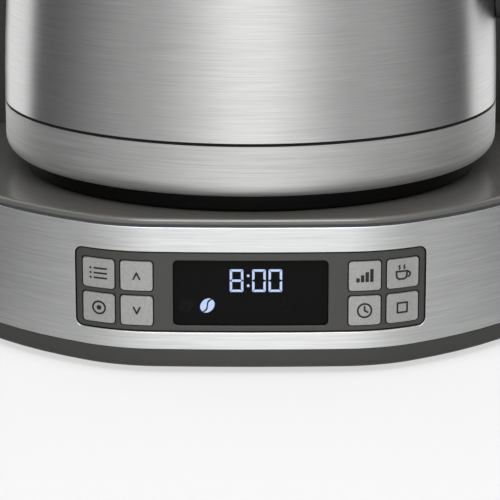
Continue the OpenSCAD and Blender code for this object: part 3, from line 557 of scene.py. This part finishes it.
def circle_points(centre, radius, start=0.0, end=360.0, sides=28):
    """Points along an arc, angles in degrees from +X."""
    turn = [math.radians(start + (end - start) * k / sides) for k in range(sides + 1)]
    return [(centre[0] + radius * math.cos(a), centre[1] + radius * math.sin(a)) for a in turn]


def front_of(node, x, z):
    """Where a line along +Y first meets a node, seen from the front."""
    hit, place, _normal, _index = NODES[node].ray_cast(Vector((x, -1.0, z)), Vector((0, 1, 0)))
    if not hit:
        raise RuntimeError(f"nothing of {node} lies behind x {x:.4f}, z {z:.4f}")
    return place.y


def rounded_outline(centre, half, radius, grown):
    """Points round a rectangle with round corners, grown outwards, its sides cut short enough to bend."""
    points = []
    for k, (side_x, side_z) in enumerate(((1, -1), (1, 1), (-1, 1), (-1, -1))):
        corner = (centre[0] + side_x * (half[0] - radius), centre[1] + side_z * (half[1] - radius))
        points += circle_points(corner, radius + grown, 90 * k - 90, 90 * k, 5)
        pieces = math.ceil(2 * half[1 - k % 2] / LIP_STEP)
        run_x, run_z = (0, 2 * (half[1] - radius)) if k % 2 == 0 else (-2 * (half[0] - radius), 0)
        way = 1 if k < 2 else -1
        x, z = points[-1]
        for i in range(1, pieces):
            points.append((x + way * run_x * i / pieces, z + way * run_z * i / pieces))
    return points


def lay_on(node, shapes, proud, depth=0.0, line=None):
    """A thin solid mesh of flat shapes in X and Z, laid on a node's front or on its front at one height."""
    sheet = bmesh.new()
    for shape in shapes:
        points = [(p[0], front_of(node, p[0], p[1] if line is None else line), p[1]) for p in shape]
        front = [sheet.verts.new((x, y - proud, z)) for x, y, z in points]
        back = [sheet.verts.new((x, y + depth, z)) for x, y, z in points]
        sheet.faces.new(front)
        sheet.faces.new(list(reversed(back)))
        bridge(sheet, front, back)
    return as_mesh(sheet, "sign")


def middle(node):
    """The middle of a node in x and z."""
    low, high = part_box(node)
    return (low[0] + high[0]) / 2, (low[2] + high[2]) / 2


def moved(points, centre):
    """Points given in millimetres about a centre, as metres."""
    return [(centre[0] + x * MM, centre[1] + z * MM) for x, z in points]


SIGNS = {
    "button_menu": "menu", "button_set": "set", "button_up": "up", "button_down": "down",
    "button_strength": "strength", "button_timer": "timer", "button_brew": "brew", "button_stop": "stop",
}

# The signs that are one line, in millimetres about the button's middle.
ONE_LINE = {
    "up": [(-0.95, -1.0), (0, 0.9), (0.95, -1.0)],
    "down": [(-0.95, 0.95), (0, -0.95), (0.95, 0.95)],
    "stop": [(-1.5, -1.5), (1.5, -1.5), (1.5, 1.5), (-1.5, 1.5), (-1.5, -1.5)],
}


def sign_lines(kind, centre, width):
    """The strokes of one button's sign, centred on the button."""

    def stroke(points, thickness=width):
        return round_line(moved(points, centre), thickness)

    if kind in ONE_LINE:
        return stroke(ONE_LINE[kind])
    if kind == "set":
        return round_line(circle_points(centre, 1.9 * MM), width) + dot(centre, 0.75 * MM)
    if kind == "timer":
        rim = round_line(circle_points(centre, 2.1 * MM), width)
        return rim + stroke([(0, 1.25), (0, 0), (0.95, -0.55)])
    shapes = []
    if kind == "menu":
        for row in (-1.5, 0, 1.5):
            shapes += stroke([(-1.3, row), (2.4, row)])
            shapes += dot(moved([(-2.5, row)], centre)[0], width * 0.62)
    if kind == "strength":
        for column, top in ((-2.1, -0.6), (-0.7, 0.3), (0.7, 1.2), (2.1, 2.1)):
            shapes += ribbon(moved([(column, -1.9), (column, top)], centre), width * 1.9)
    if kind == "brew":
        cup = [(-2.0, 0.6), (-1.8, -1.2), (-1.2, -1.8), (0.6, -1.8), (1.2, -1.2), (1.4, 0.6), (-2.0, 0.6)]
        ear = circle_points((1.5, -0.45), 0.8, -70, 80, 10)
        shapes += stroke(cup) + stroke(ear)
        for column in (-1.1, 0.4):
            wisp = [(column, 1.3), (column + 0.25, 1.7), (column - 0.1, 2.1), (column + 0.15, 2.5)]
            shapes += stroke(wisp, width * 0.8)
    return shapes


# The bars that shine in each figure, lettered clockwise from the top one, with g in the middle.
SEGMENTS = {"8": "abcdefg", "0": "abcdef"}


def figure_shapes(figure, x, z, width, height, stroke, gap):
    """The lit bars of one seven-bar figure whose lower left corner is at x, z, mitred where they meet."""
    right, top, mid = x + width, z + height, z + height / 2
    low_mid, high_mid = mid - stroke / 2, mid + stroke / 2
    level = {"a": (top, -1), "d": (z, 1)}
    upright = {"b": (right, -1, mid), "c": (right, -1, z), "e": (x, 1, z), "f": (x, 1, mid)}
    shapes = []
    for name in SEGMENTS[figure]:
        if name in level:
            edge, way = level[name]
            inside = edge + way * stroke
            bar = [(x + gap, edge), (right - gap, edge)]
            bar += [(right - gap - stroke, inside), (x + gap + stroke, inside)]
        elif name in upright:
            edge, way, start = upright[name]
            inside = edge + way * stroke
            if start == z:
                bar = [(edge, z + gap), (inside, z + gap + stroke)]
                bar += [(inside, low_mid - gap), (edge, mid - gap)]
            else:
                bar = [(edge, mid + gap), (inside, high_mid + gap)]
                bar += [(inside, top - gap - stroke), (edge, top - gap)]
        else:
            tip, shoulder = stroke * 0.5 + gap, stroke + gap
            bar = [(x + tip, mid), (x + shoulder, low_mid), (right - shoulder, low_mid), (right - tip, mid)]
            bar += [(right - shoulder, high_mid), (x + shoulder, high_mid)]
        shapes.append([Vector(p) for p in bar])
    return shapes


# ---------------------------------------------------------------- operators


class COFFEE_OT_base(bpy.types.Operator):
    """Finish the base: its pan, cover, rear, gland, feet and seat pad"""

    bl_idname = "coffee_maker.base"
    bl_label = "Base"

    seam_in: length("Seam depth", "How far the seam lies behind the steel's face", 0.3 * MM)
    seam_height: length("Seam height", "Height of the seam above the steel's edge", 0.88 * MM)

    def execute(self, context):
        edge = settings().moulded.edge
        dress(["base_pan", "rear_cover"], dark(), edge)
        cover = moulded("Base cover", settings().moulded.cover, 0.24, specular=0.9, bump=0.003 * MM)
        dress(["base_top"], cover, smooth=50)
        self.add_shade_seam()
        dress(["rubber_feet", "seat_pad", "cord_gland"], rubber(), edge * 0.5)
        dress(["base_screws"], plated())
        return {"FINISHED"}

    def add_shade_seam(self):
        """A cool grey strip in the joint between the steel band and the top cover: painted shade, standing
        in for the shadow in that gap.
        """
        line, top = self.band_rim()
        front, back, high = self.seam_in, 1 * MM, self.seam_height
        profile = [(front, 0.0), (back, 0.0), (back, high), (front, high)]
        sheet = bmesh.new()
        rings = []
        for k, p in enumerate(line):
            ahead, behind = line[min(k + 1, len(line) - 1)], line[max(k - 1, 0)]
            along = (ahead - behind).normalized()
            side = Vector((-along.y, along.x))
            if side.dot(p) > 0:
                side = -side
            corners = [(p + side * inset, top + rise) for inset, rise in profile]
            rings.append([sheet.verts.new((q.x, q.y, z)) for q, z in corners])
        for here, there in zip(rings, rings[1:]):
            bridge(sheet, here, there)
        sheet.faces.new(rings[0])
        sheet.faces.new(rings[-1])
        # Painted shade: the strip's dark cool grey stands in for the gap's shadow.
        seam = moulded("Seam", settings().moulded.seam, 0.6, specular=0.2, bump=0.003 * MM)
        add_piece("cover_shade_seam", as_mesh(sheet, "cover_shade_seam"), seam, "machine")

    def band_rim(self):
        """The steel band's upper edge from one rear end round the front to the other, and its height."""
        band = NODES["steel_band"]
        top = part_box("steel_band")[1].z
        rim = [band.matrix_world @ v.co for v in band.data.vertices]
        rim = [Vector((p.x, p.y)) for p in rim if p.z > top - 0.01 * MM]
        line = [rim[k] for k in geometry.convex_hull_2d(rim)]
        rear = max(p.y for p in line) - MM
        first = next(k for k, p in enumerate(line) if p.y > rear > line[(k + 1) % len(line)].y)
        return line[first:] + line[:first], top


class COFFEE_OT_steel(bpy.types.Operator):
    """Finish the steel band of the base and the skins of the column, head and holder"""

    bl_idname = "coffee_maker.steel"
    bl_label = "Steel sheet"

    def execute(self, context):
        # The lighter sheet tint is a painted highlight on the same steel as the carafe.
        sheet = brushed_steel(
            "Brushed steel", settings().steel.sheet_lit_tint, 0.5, fine=0.45, streak=0.3, stretch=0.5
        )
        dress(["steel_band", "column_skin", "head_band", "holder_skin"], sheet, 0.28 * MM, segments=3)
        return {"FINISHED"}


# The corners that the dark lips follow, which paint the shade in the gaps, and the way the edges of bezel
# and buttons face that get a painted highlight.
BEZEL_CORNER, BUTTON_CORNER, LIP_DEPTH = 1.8 * MM, 0.9 * MM, 0.4 * MM
UPWARDS, LOWER_RIGHT = (0, 0, 1), (0.62, 0, -0.78)


class COFFEE_OT_panel(bpy.types.Operator):
    """Finish the control panel's bezel, window and inner pieces"""

    bl_idname = "coffee_maker.panel"
    bl_label = "Control panel"

    # The lips are painted shade: black pieces set into the gaps round the bezel and the buttons.
    bezel_flange: length("Bezel flange", "How far the hidden flange passes the opening", 3 * MM)
    bezel_gap: length("Bezel gap", "Gap between the bezel and the steel", 0.5 * MM)
    button_flange: length("Button flange", "How far a button's hidden flange passes its face", 0.65 * MM)
    button_gap: length("Button gap", "Gap between a button and the bezel", 0.4 * MM)
    lip_clear: length("Lip clearance", "Gap between a rubber lip and what it surrounds", 0.05 * MM)
    shade_lip_in: length("Seal depth", "How far the lips lie behind the steel's front", 1.0 * MM)

    def execute(self, context):
        panel = settings().panel
        # Painted highlight: the bezel's upward-facing edges are painted lighter, standing in for light from
        # above.
        bezel = moulded("Bezel plastic", panel.bezel, 0.34, bump=0.008 * MM, painted_highlight=(UPWARDS, 2.2))
        dress(["control_bezel"], bezel, 0.22 * MM, clamp=True)
        dress(["display_window"], window_plastic("Display window", panel.glass), 0.15 * MM)
        dress(["lcd_module", "tact_switches"], black())
        resist = moulded("Solder resist", (0.02, 0.11, 0.05), 0.3, bump=0.01 * MM, pitch=400)
        dress(["control_board"], resist)
        dress(["board_screws"], plated())
        self.add_shade_lips()
        return {"FINISHED"}

    def add_shade_lips(self):
        """Black rubber lips in the gaps round the bezel and round each button: painted shade, dark pieces
        that stand in for the shade falling in those gaps.
        """
        shapes = self.lip("control_bezel", self.bezel_flange + self.bezel_gap, self.bezel_gap, BEZEL_CORNER)
        for button in SIGNS:
            shapes += self.lip(button, self.button_flange, self.button_gap, BUTTON_CORNER)
        line = (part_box("steel_band")[1].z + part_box("control_bezel")[1].z) / 2
        mesh = lay_on("steel_band", shapes, -self.shade_lip_in, self.shade_lip_in + LIP_DEPTH, line)
        add_piece("panel_shade_lips", mesh, rubber(), "machine")

    def lip(self, node, flange, gap, radius):
        """A flat ring that fills the gap round a node, whose box is wider than its face by a flange."""
        low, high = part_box(node)
        centre = middle(node)
        half = ((high.x - low.x) / 2 - flange, (high.z - low.z) / 2 - flange)
        inner = rounded_outline(centre, half, radius, self.lip_clear)
        outer = rounded_outline(centre, half, radius, gap)
        count = len(inner)
        rim = [(inner[k], inner[(k + 1) % count], outer[(k + 1) % count], outer[k]) for k in range(count)]
        return [[Vector(p) for p in quad] for quad in rim]


# Each figure of the time with its left edge, and the two dots between the hours and the minutes.
TIME = (("8", -6.3 * MM), ("0", 0.45 * MM), ("0", 5.4 * MM))
COLON = ((-0.75 * MM, 27.6 * MM), (-0.75 * MM, 30.7 * MM))
BAR_GAP, COLON_DOT = 0.12 * MM, 0.42 * MM
LIT_PROUD, UNLIT_PROUD = 0.03 * MM, 0.02 * MM
UNLIT_BEAN = -6.3 * MM  # from the lit bean to the unlit one
CLOCK_IN, CLOCK_RADIUS, CLOCK_LINE = 3.4 * MM, 2.2 * MM, 0.4 * MM


class COFFEE_OT_display_signs(bpy.types.Operator):
    """Light the display: the time in seven-bar figures and a bean, with two faint unlit figures"""

    bl_idname = "coffee_maker.display_signs"
    bl_label = "Display signs"

    figure_width: length("Figure width", "Width of one figure", 4.1 * MM)
    figure_height: length("Figure height", "Height of one figure", 7.05 * MM)
    figure_low: length("Figure low", "Height of the figures' lower edge", 25.65 * MM)
    stroke: length("Stroke", "Width of a lit bar", 0.72 * MM)
    bean_x: length("Bean place", "Distance of the bean from the middle", -13.1 * MM)
    bean_z: length("Bean height", "Height of the bean's middle", 21.35 * MM)
    bean_size: length("Bean size", "Half length of the bean", 2.45 * MM)

    def execute(self, context):
        panel = settings().panel
        glow = lit("Display glow", panel.glow)
        time = lay_on("display_window", self.time_shapes(), LIT_PROUD)
        add_piece("display_time", time, glow, "machine")
        bean = lay_on("display_window", self.bean_shapes(self.bean_x), LIT_PROUD)
        add_piece("display_bean", bean, glow, "machine")
        ghost = window_plastic("Unlit figures", panel.ghost)
        faint = self.bean_shapes(self.bean_x + UNLIT_BEAN) + self.clock_shapes()
        unlit = lay_on("display_window", faint, UNLIT_PROUD)
        add_piece("display_unlit", unlit, ghost, "machine")
        return {"FINISHED"}

    def time_shapes(self):
        """The bars of the time's figures and the two dots."""
        shapes = []
        for figure, left in TIME:
            shapes += figure_shapes(
                figure, left, self.figure_low, self.figure_width, self.figure_height, self.stroke, BAR_GAP
            )
        for centre in COLON:
            shapes += dot(centre, COLON_DOT)
        return shapes

    def clock_shapes(self):
        """A ring with two hands, on the right below the figures."""
        centre = (-self.bean_x - CLOCK_IN, self.bean_z)
        ring = round_line(circle_points(centre, CLOCK_RADIUS), CLOCK_LINE)
        return ring + round_line(moved([(0, 1.3), (0, 0), (-0.9, 0)], centre), CLOCK_LINE)

    def bean_shapes(self, x):
        """Two halves of a tilted oval either side of a bent slit."""
        centre = Vector((x, self.bean_z))
        lean = math.radians(48)
        long, short, slit = self.bean_size, self.bean_size * 0.8, 0.25 * MM
        steps = 16
        shapes = []
        for side in (-1, 1):
            for k in range(steps):
                quad = []
                for u in (-1 + 2 * k / steps, -1 + 2 * (k + 1) / steps):
                    rim = short * math.sqrt(max(0.0, 1 - u * u))
                    bend = 0.32 * short * math.sin(u * math.pi * 0.9)
                    inner = max(-rim, min(rim, bend + side * slit))
                    quad += [(u * long, inner), (u * long, side * rim)]
                shapes.append([
                    centre + Vector((
                        run * math.cos(lean) - rise * math.sin(lean),
                        run * math.sin(lean) + rise * math.cos(lean),
                    ))
                    for run, rise in (quad[0], quad[2], quad[3], quad[1])
                ])
        return shapes


class COFFEE_OT_buttons(bpy.types.Operator):
    """Finish the eight buttons and print their signs"""

    bl_idname = "coffee_maker.buttons"
    bl_label = "Buttons"

    def execute(self, context):
        panel = settings().panel
        # Painted highlight: the buttons' lower right edges are painted lighter, standing in for the floor
        # they reflect.
        cap = moulded(
            "Silver button", panel.button, 0.38, pitch=1300, vary=0.5, metallic=0.3, mottle=0.5,
            painted_highlight=(LOWER_RIGHT, 0.9),
        )
        dress(list(SIGNS), cap, panel.edge, segments=3, clamp=True)
        ink = moulded("Sign ink", panel.sign, 0.5, bump=0.001 * MM)
        for button, kind in SIGNS.items():
            mesh = lay_on(button, sign_lines(kind, middle(button), panel.line), panel.proud)
            add_piece("sign_" + kind, mesh, ink, button + "_cap")
        return {"FINISHED"}


class COFFEE_OT_water_path(bpy.types.Operator):
    """Finish the heater, its hoses, the check valve and the shower"""

    bl_idname = "coffee_maker.water_path"
    bl_label = "Water path"

    def execute(self, context):
        dress(["water_heater"], bright_metal("Cast aluminium", (0.55, 0.56, 0.57), 0.45))
        dress(["heater_bracket"], plated())
        dress(["thermal_cutouts", "shower_plate"], black())
        dress(["inlet_hose", "outlet_hose", "riser_tube"], silicone())
        dress(["check_valve"], moulded("Natural nylon", (0.6, 0.57, 0.48), 0.5))
        return {"FINISHED"}


class COFFEE_OT_column(bpy.types.Operator):
    """Finish the column, the tank and the water level window"""

    bl_idname = "coffee_maker.column"
    bl_label = "Column"

    def execute(self, context):
        dress(["column_housing", "hinge_bracket"], dark(), settings().moulded.edge)
        dress(["water_tank"], moulded("Tank plastic", (0.1, 0.11, 0.12), 0.25, bump=0.004 * MM))
        dress(["level_window", "sight_tube"], clear_plastic("Clear plastic", (0.82, 0.87, 0.9)))
        dress(["level_float"], moulded("Red float", (0.5, 0.02, 0.012), 0.3, bump=0.002 * MM))
        return {"FINISHED"}


class COFFEE_OT_head(bpy.types.Operator):
    """Finish the head, the tank lid and its pins"""

    bl_idname = "coffee_maker.head"
    bl_label = "Head"

    def execute(self, context):
        dress(["head_cap"], graphite(), smooth=50)
        dress(["tank_lid"], graphite())
        dress(["lid_hinge_pins", "holder_hinge_pin"], plated())
        return {"FINISHED"}


class COFFEE_OT_holder(bpy.types.Operator):
    """Finish the swing-out filter holder, its basket and drip valve"""

    bl_idname = "coffee_maker.holder"
    bl_label = "Filter holder"

    def execute(self, context):
        dress(["filter_holder"], dark(), settings().moulded.edge)
        dress(["filter_basket", "drip_valve"], black())
        dress(["drip_spring"], plated())
        return {"FINISHED"}


# The dark ring's faces behind the carafe's ring, its height and how far it reaches below the ring's top.
# The ring is painted shade: a black piece in the groove between the ring and the shell, standing in for its
# shadow.
SHADE_RING_INNER, SHADE_RING_OUTER = 1.3 * MM, 0.35 * MM
SHADE_RING_HEIGHT, SHADE_RING_OVERLAP = 1.1 * MM, 0.1 * MM


class COFFEE_OT_carafe(bpy.types.Operator):
    """Finish the carafe: its shell, base band, foot, liner, collar and handle"""

    bl_idname = "coffee_maker.carafe"
    bl_label = "Carafe"

    def execute(self, context):
        steel = settings().steel
        body = brushed_steel("Carafe steel", steel.tint, steel.roughness, fine=0.46, streak=0.12)
        dress(["carafe_shell"], body, smooth=30)
        ring = brushed_steel("Carafe ring steel", steel.tint, 0.53, fine=0.4, streak=0.5, stretch=0.15)
        dress(["carafe_base_band"], ring, smooth=30)
        self.add_shade_seam()
        dress(["carafe_liner"], brushed_steel("Liner steel", steel.inner_tint, 0.34, stretch=0.3))
        edge = settings().moulded.edge
        foot = moulded("Foot plastic", (0.004, 0.004, 0.004), 0.6, specular=0.12, bump=0.01 * MM)
        dress(["carafe_foot"], foot, edge * 0.6)
        dress(["carafe_collar", "carafe_handle"], black(), edge)
        dress(["handle_screws"], plated())
        return {"FINISHED"}

    def add_shade_seam(self):
        """A dark ring in the groove between the ring and the shell: painted shade, standing in for the
        groove's shadow.
        """
        ring_low, ring_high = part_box("carafe_base_band")
        radius = (ring_high.x - ring_low.x) / 2
        inner, outer = radius - SHADE_RING_INNER, radius - SHADE_RING_OUTER
        low = ring_high.z - SHADE_RING_OVERLAP
        high = low + SHADE_RING_HEIGHT
        profile = [(inner, low), (outer, low), (outer, high), (inner, high)]
        mesh = turned_mesh("carafe_shade_seam", profile, (ring_low + ring_high) / 2, sides=160)
        add_piece("carafe_shade_seam", mesh, rubber(), "carafe")


class COFFEE_OT_carafe_lid(bpy.types.Operator):
    """Finish the carafe's lid, its lever, gasket and pour valve"""

    bl_idname = "coffee_maker.carafe_lid"
    bl_label = "Carafe lid"

    def execute(self, context):
        dress(["carafe_lid"], black(), settings().moulded.edge)
        lever = moulded("Silver lever", (0.36, 0.36, 0.35), 0.35, bump=0.003 * MM)
        dress(["pour_lever"], lever, 0.3 * MM)
        dress(["lever_pin"], plated())
        dress(["lid_gasket", "pour_valve"], moulded("Red silicone", (0.42, 0.05, 0.03), 0.55))
        return {"FINISHED"}


# ---------------------------------------------------------------- studio


WHITE = (1, 1, 1, 1)
FLOOR_REACH = 6.0
FLOOR_DROP = 0.2 * MM

# The tent's brightness by degrees from its brightest line.
TENT_LEVELS = (
    (0, 0.7), (8, 0.6), (16, 0.48), (23, 0.46), (43, 0.54),
    (58, 0.47), (75, 0.3), (88, 0.19), (104, 0.11), (116, 0.08),
)
# How solid the tent's foot is by degrees from the front.
TENT_COVER = ((0, 0.0), (8, 0.0), (40, 1.0), (112, 1.0))
TENT_AZIMUTHS = range(-112, 113, 4)
TENT_MIDDLE = -0.06
TENT_INNER, TENT_LOW = 0.02, 0.6 * MM


def seen_ray(tree):
    """One for camera, glossy and transmission rays, which see plain white behind, and zero for the rest."""
    path = tree.nodes.new("ShaderNodeLightPath")
    seen = math_node(tree, "MAXIMUM", path.outputs["Is Camera Ray"], path.outputs["Is Glossy Ray"])
    return math_node(tree, "MAXIMUM", seen, path.outputs["Is Transmission Ray"])


def blend(tree, factor, first, second, output):
    """Two shaders mixed by a factor, as a surface."""
    mix = tree.nodes.new("ShaderNodeMixShader")
    tree.links.new(factor, mix.inputs[0])
    tree.links.new(first.outputs[0], mix.inputs[1])
    tree.links.new(second.outputs[0], mix.inputs[2])
    tree.links.new(mix.outputs[0], output.inputs["Surface"])


def painted(tree, name):
    """A value that a mesh carries at its corners."""
    attribute = tree.nodes.new("ShaderNodeAttribute")
    attribute.attribute_name = name
    return attribute.outputs["Fac"]


def floor_material(studio):
    """Pale matt floor that shows partly as plain white."""
    material, tree, shader = start_material("Floor")
    tone = centred(tree, clouds(tree, object_vector(tree), 2.5, 3.0), 0.01)
    tree.links.new(tinted(tree, studio.floor, tone), shader.inputs["Base Color"])
    set_inputs(shader, {"Roughness": 0.9, "Specular IOR Level": 0.1})
    white = tree.nodes.new("ShaderNodeEmission")
    share_of_white = math_node(tree, "MULTIPLY", seen_ray(tree), studio.floor_white)
    blend(tree, share_of_white, shader, white, tree.nodes["Material Output"])
    return material


def tent_material():
    """Plain light, as strong and as solid as the tent's mesh says."""
    material = bpy.data.materials.new("Tent")
    material.use_nodes = True
    tree = material.node_tree
    tree.nodes.clear()
    shine = tree.nodes.new("ShaderNodeEmission")
    tree.links.new(painted(tree, "light"), shine.inputs["Strength"])
    clear = tree.nodes.new("ShaderNodeBsdfTransparent")
    output = tree.nodes.new("ShaderNodeOutputMaterial")
    blend(tree, painted(tree, "solid"), clear, shine, output)
    return material


class COFFEE_OT_stage(bpy.types.Operator):
    """Set the camera, the floor, the lamps and the surrounding light"""

    bl_idname = "coffee_maker.stage"
    bl_label = "Studio"

    def execute(self, context):
        studio = settings().studio
        self.place_camera(studio)
        self.make_floor(studio)
        self.make_tent(studio)
        self.make_lamps(studio)
        self.make_world(studio)
        context.scene.view_settings.view_transform = "Standard"
        return {"FINISHED"}

    def place_camera(self, studio):
        """The camera, at its angle above the horizon, level with the front."""
        data = bpy.data.cameras.new("Camera")
        data.lens = studio.lens
        data.sensor_width = 36
        data.clip_start = 0.05
        camera = linked("Camera", data)
        tilt = math.radians(studio.elevation)
        aim = Vector(studio.aim)
        camera.location = aim + studio.distance * Vector((0, -math.cos(tilt), math.sin(tilt)))
        camera.rotation_euler = (math.radians(90) - tilt, 0, 0)
        bpy.context.scene.camera = camera

    def make_floor(self, studio):
        """A wide pale floor just under the feet."""
        mesh = bpy.data.meshes.new("floor")
        low, high = -FLOOR_REACH, FLOOR_REACH
        corners = [(low, low, 0), (high, low, 0), (high, high, 0), (low, high, 0)]
        mesh.from_pydata(corners, [], [(0, 1, 2, 3)])
        mesh.materials.append(floor_material(studio))
        floor = linked("floor", mesh)
        floor.location.z = -FLOOR_DROP

    def make_tent(self, studio):
        """A wall round the front that fades to grey at the sides, with a skirt on the floor.

        Only gloss sees it. In the middle the skirt and the wall's foot are clear, so the floor shows.
        """
        reach = studio.tent_radius
        rows = ((TENT_INNER, TENT_LOW), (reach, TENT_LOW), (reach, studio.tent_height))
        top = len(rows) - 1
        verts, light, solid = [], [], []
        for azimuth in TENT_AZIMUTHS:
            turn = math.radians(azimuth)
            for row, (radius, height) in enumerate(rows):
                verts.append((radius * math.sin(turn), TENT_MIDDLE - radius * math.cos(turn), height))
                light.append(studio.tent_light * between(TENT_LEVELS, abs(azimuth - studio.tent_turn)))
                solid.append(between(TENT_COVER, abs(azimuth)) if row < top else 1.0)
        corners = [
            column * len(rows) + row for column in range(len(TENT_AZIMUTHS) - 1) for row in range(top)
        ]
        mesh = bpy.data.meshes.new("tent")
        mesh.from_pydata(verts, [], [(a, a + 3, a + 4, a + 1) for a in corners])
        for name, values in (("light", light), ("solid", solid)):
            mesh.attributes.new(name, "FLOAT", "POINT").data.foreach_set("value", values)
        mesh.materials.append(tent_material())
        tent = linked("tent", mesh)
        for ray in ("camera", "diffuse", "transmission", "volume_scatter", "shadow"):
            setattr(tent, "visible_" + ray, False)

    def make_lamps(self, studio):
        """A broad soft lamp in front and above, and a higher one that adds only gloss."""
        self.add_lamp(
            "Key", studio.key, size=(0.9, 0.7), place=(0, -1.1, 1.1), aim=(0, -0.2, 0.03), glossy=False
        )
        self.add_lamp(
            "Strip", studio.strip, size=(0.7, 0.6), place=(0, -0.5, 1.05), aim=(0, -0.15, 0.05),
            diffuse=False,
        )

    def add_lamp(self, name, power, size, place, aim, diffuse=True, glossy=True):
        """One rectangular soft lamp that lights plain surfaces, glossy ones or both."""
        data = bpy.data.lights.new(name, "AREA")
        data.shape = "RECTANGLE"
        data.size, data.size_y = size
        data.energy = power
        lamp = linked(name, data)
        lamp.location = place
        lamp.rotation_euler = (Vector(place) - Vector(aim)).to_track_quat("Z", "Y").to_euler()
        lamp.visible_diffuse = diffuse
        lamp.visible_glossy = glossy

    def make_world(self, studio):
        """Soft light all round, in front of plain white."""
        world = bpy.data.worlds.new("Studio")
        bpy.context.scene.world = world
        world.use_nodes = True
        tree = world.node_tree
        light = tree.nodes["Background"]
        set_inputs(light, {"Color": WHITE, "Strength": studio.sky})
        white = tree.nodes.new("ShaderNodeBackground")
        set_inputs(white, {"Color": WHITE})
        blend(tree, seen_ray(tree), light, white, tree.nodes["World Output"])


STEPS = (
    COFFEE_OT_base, COFFEE_OT_steel, COFFEE_OT_panel, COFFEE_OT_display_signs, COFFEE_OT_buttons,
    COFFEE_OT_water_path, COFFEE_OT_column, COFFEE_OT_head, COFFEE_OT_holder, COFFEE_OT_carafe,
    COFFEE_OT_carafe_lid, COFFEE_OT_stage,
)


class COFFEE_PT_panel(bpy.types.Panel):
    """Lists every step in the sidebar"""

    bl_idname = "COFFEE_PT_panel"
    bl_label = "Coffee Maker"
    bl_space_type = "VIEW_3D"
    bl_region_type = "UI"
    bl_category = "Coffee Maker"

    def draw(self, context):
        for step in STEPS:
            self.layout.operator(step.bl_idname)


GROUPS = (SteelSettings, MouldedSettings, PanelSettings, StudioSettings, MakerSettings)
CLASSES = GROUPS + STEPS + (COFFEE_PT_panel,)


def register():
    """Registers the classes and hangs the settings on the scene."""
    for cls in CLASSES:
        bpy.utils.register_class(cls)
    bpy.types.Scene.coffee_maker = PointerProperty(type=MakerSettings)


def unregister():
    """Takes them away again."""
    del bpy.types.Scene.coffee_maker
    for cls in reversed(CLASSES):
        bpy.utils.unregister_class(cls)


def main():
    """Runs every step."""
    register()
    build_brushing()
    build_grain()
    for step in STEPS:
        family, name = step.bl_idname.split(".")
        getattr(getattr(bpy.ops, family), name)()


if __name__ == "__main__":
    main()
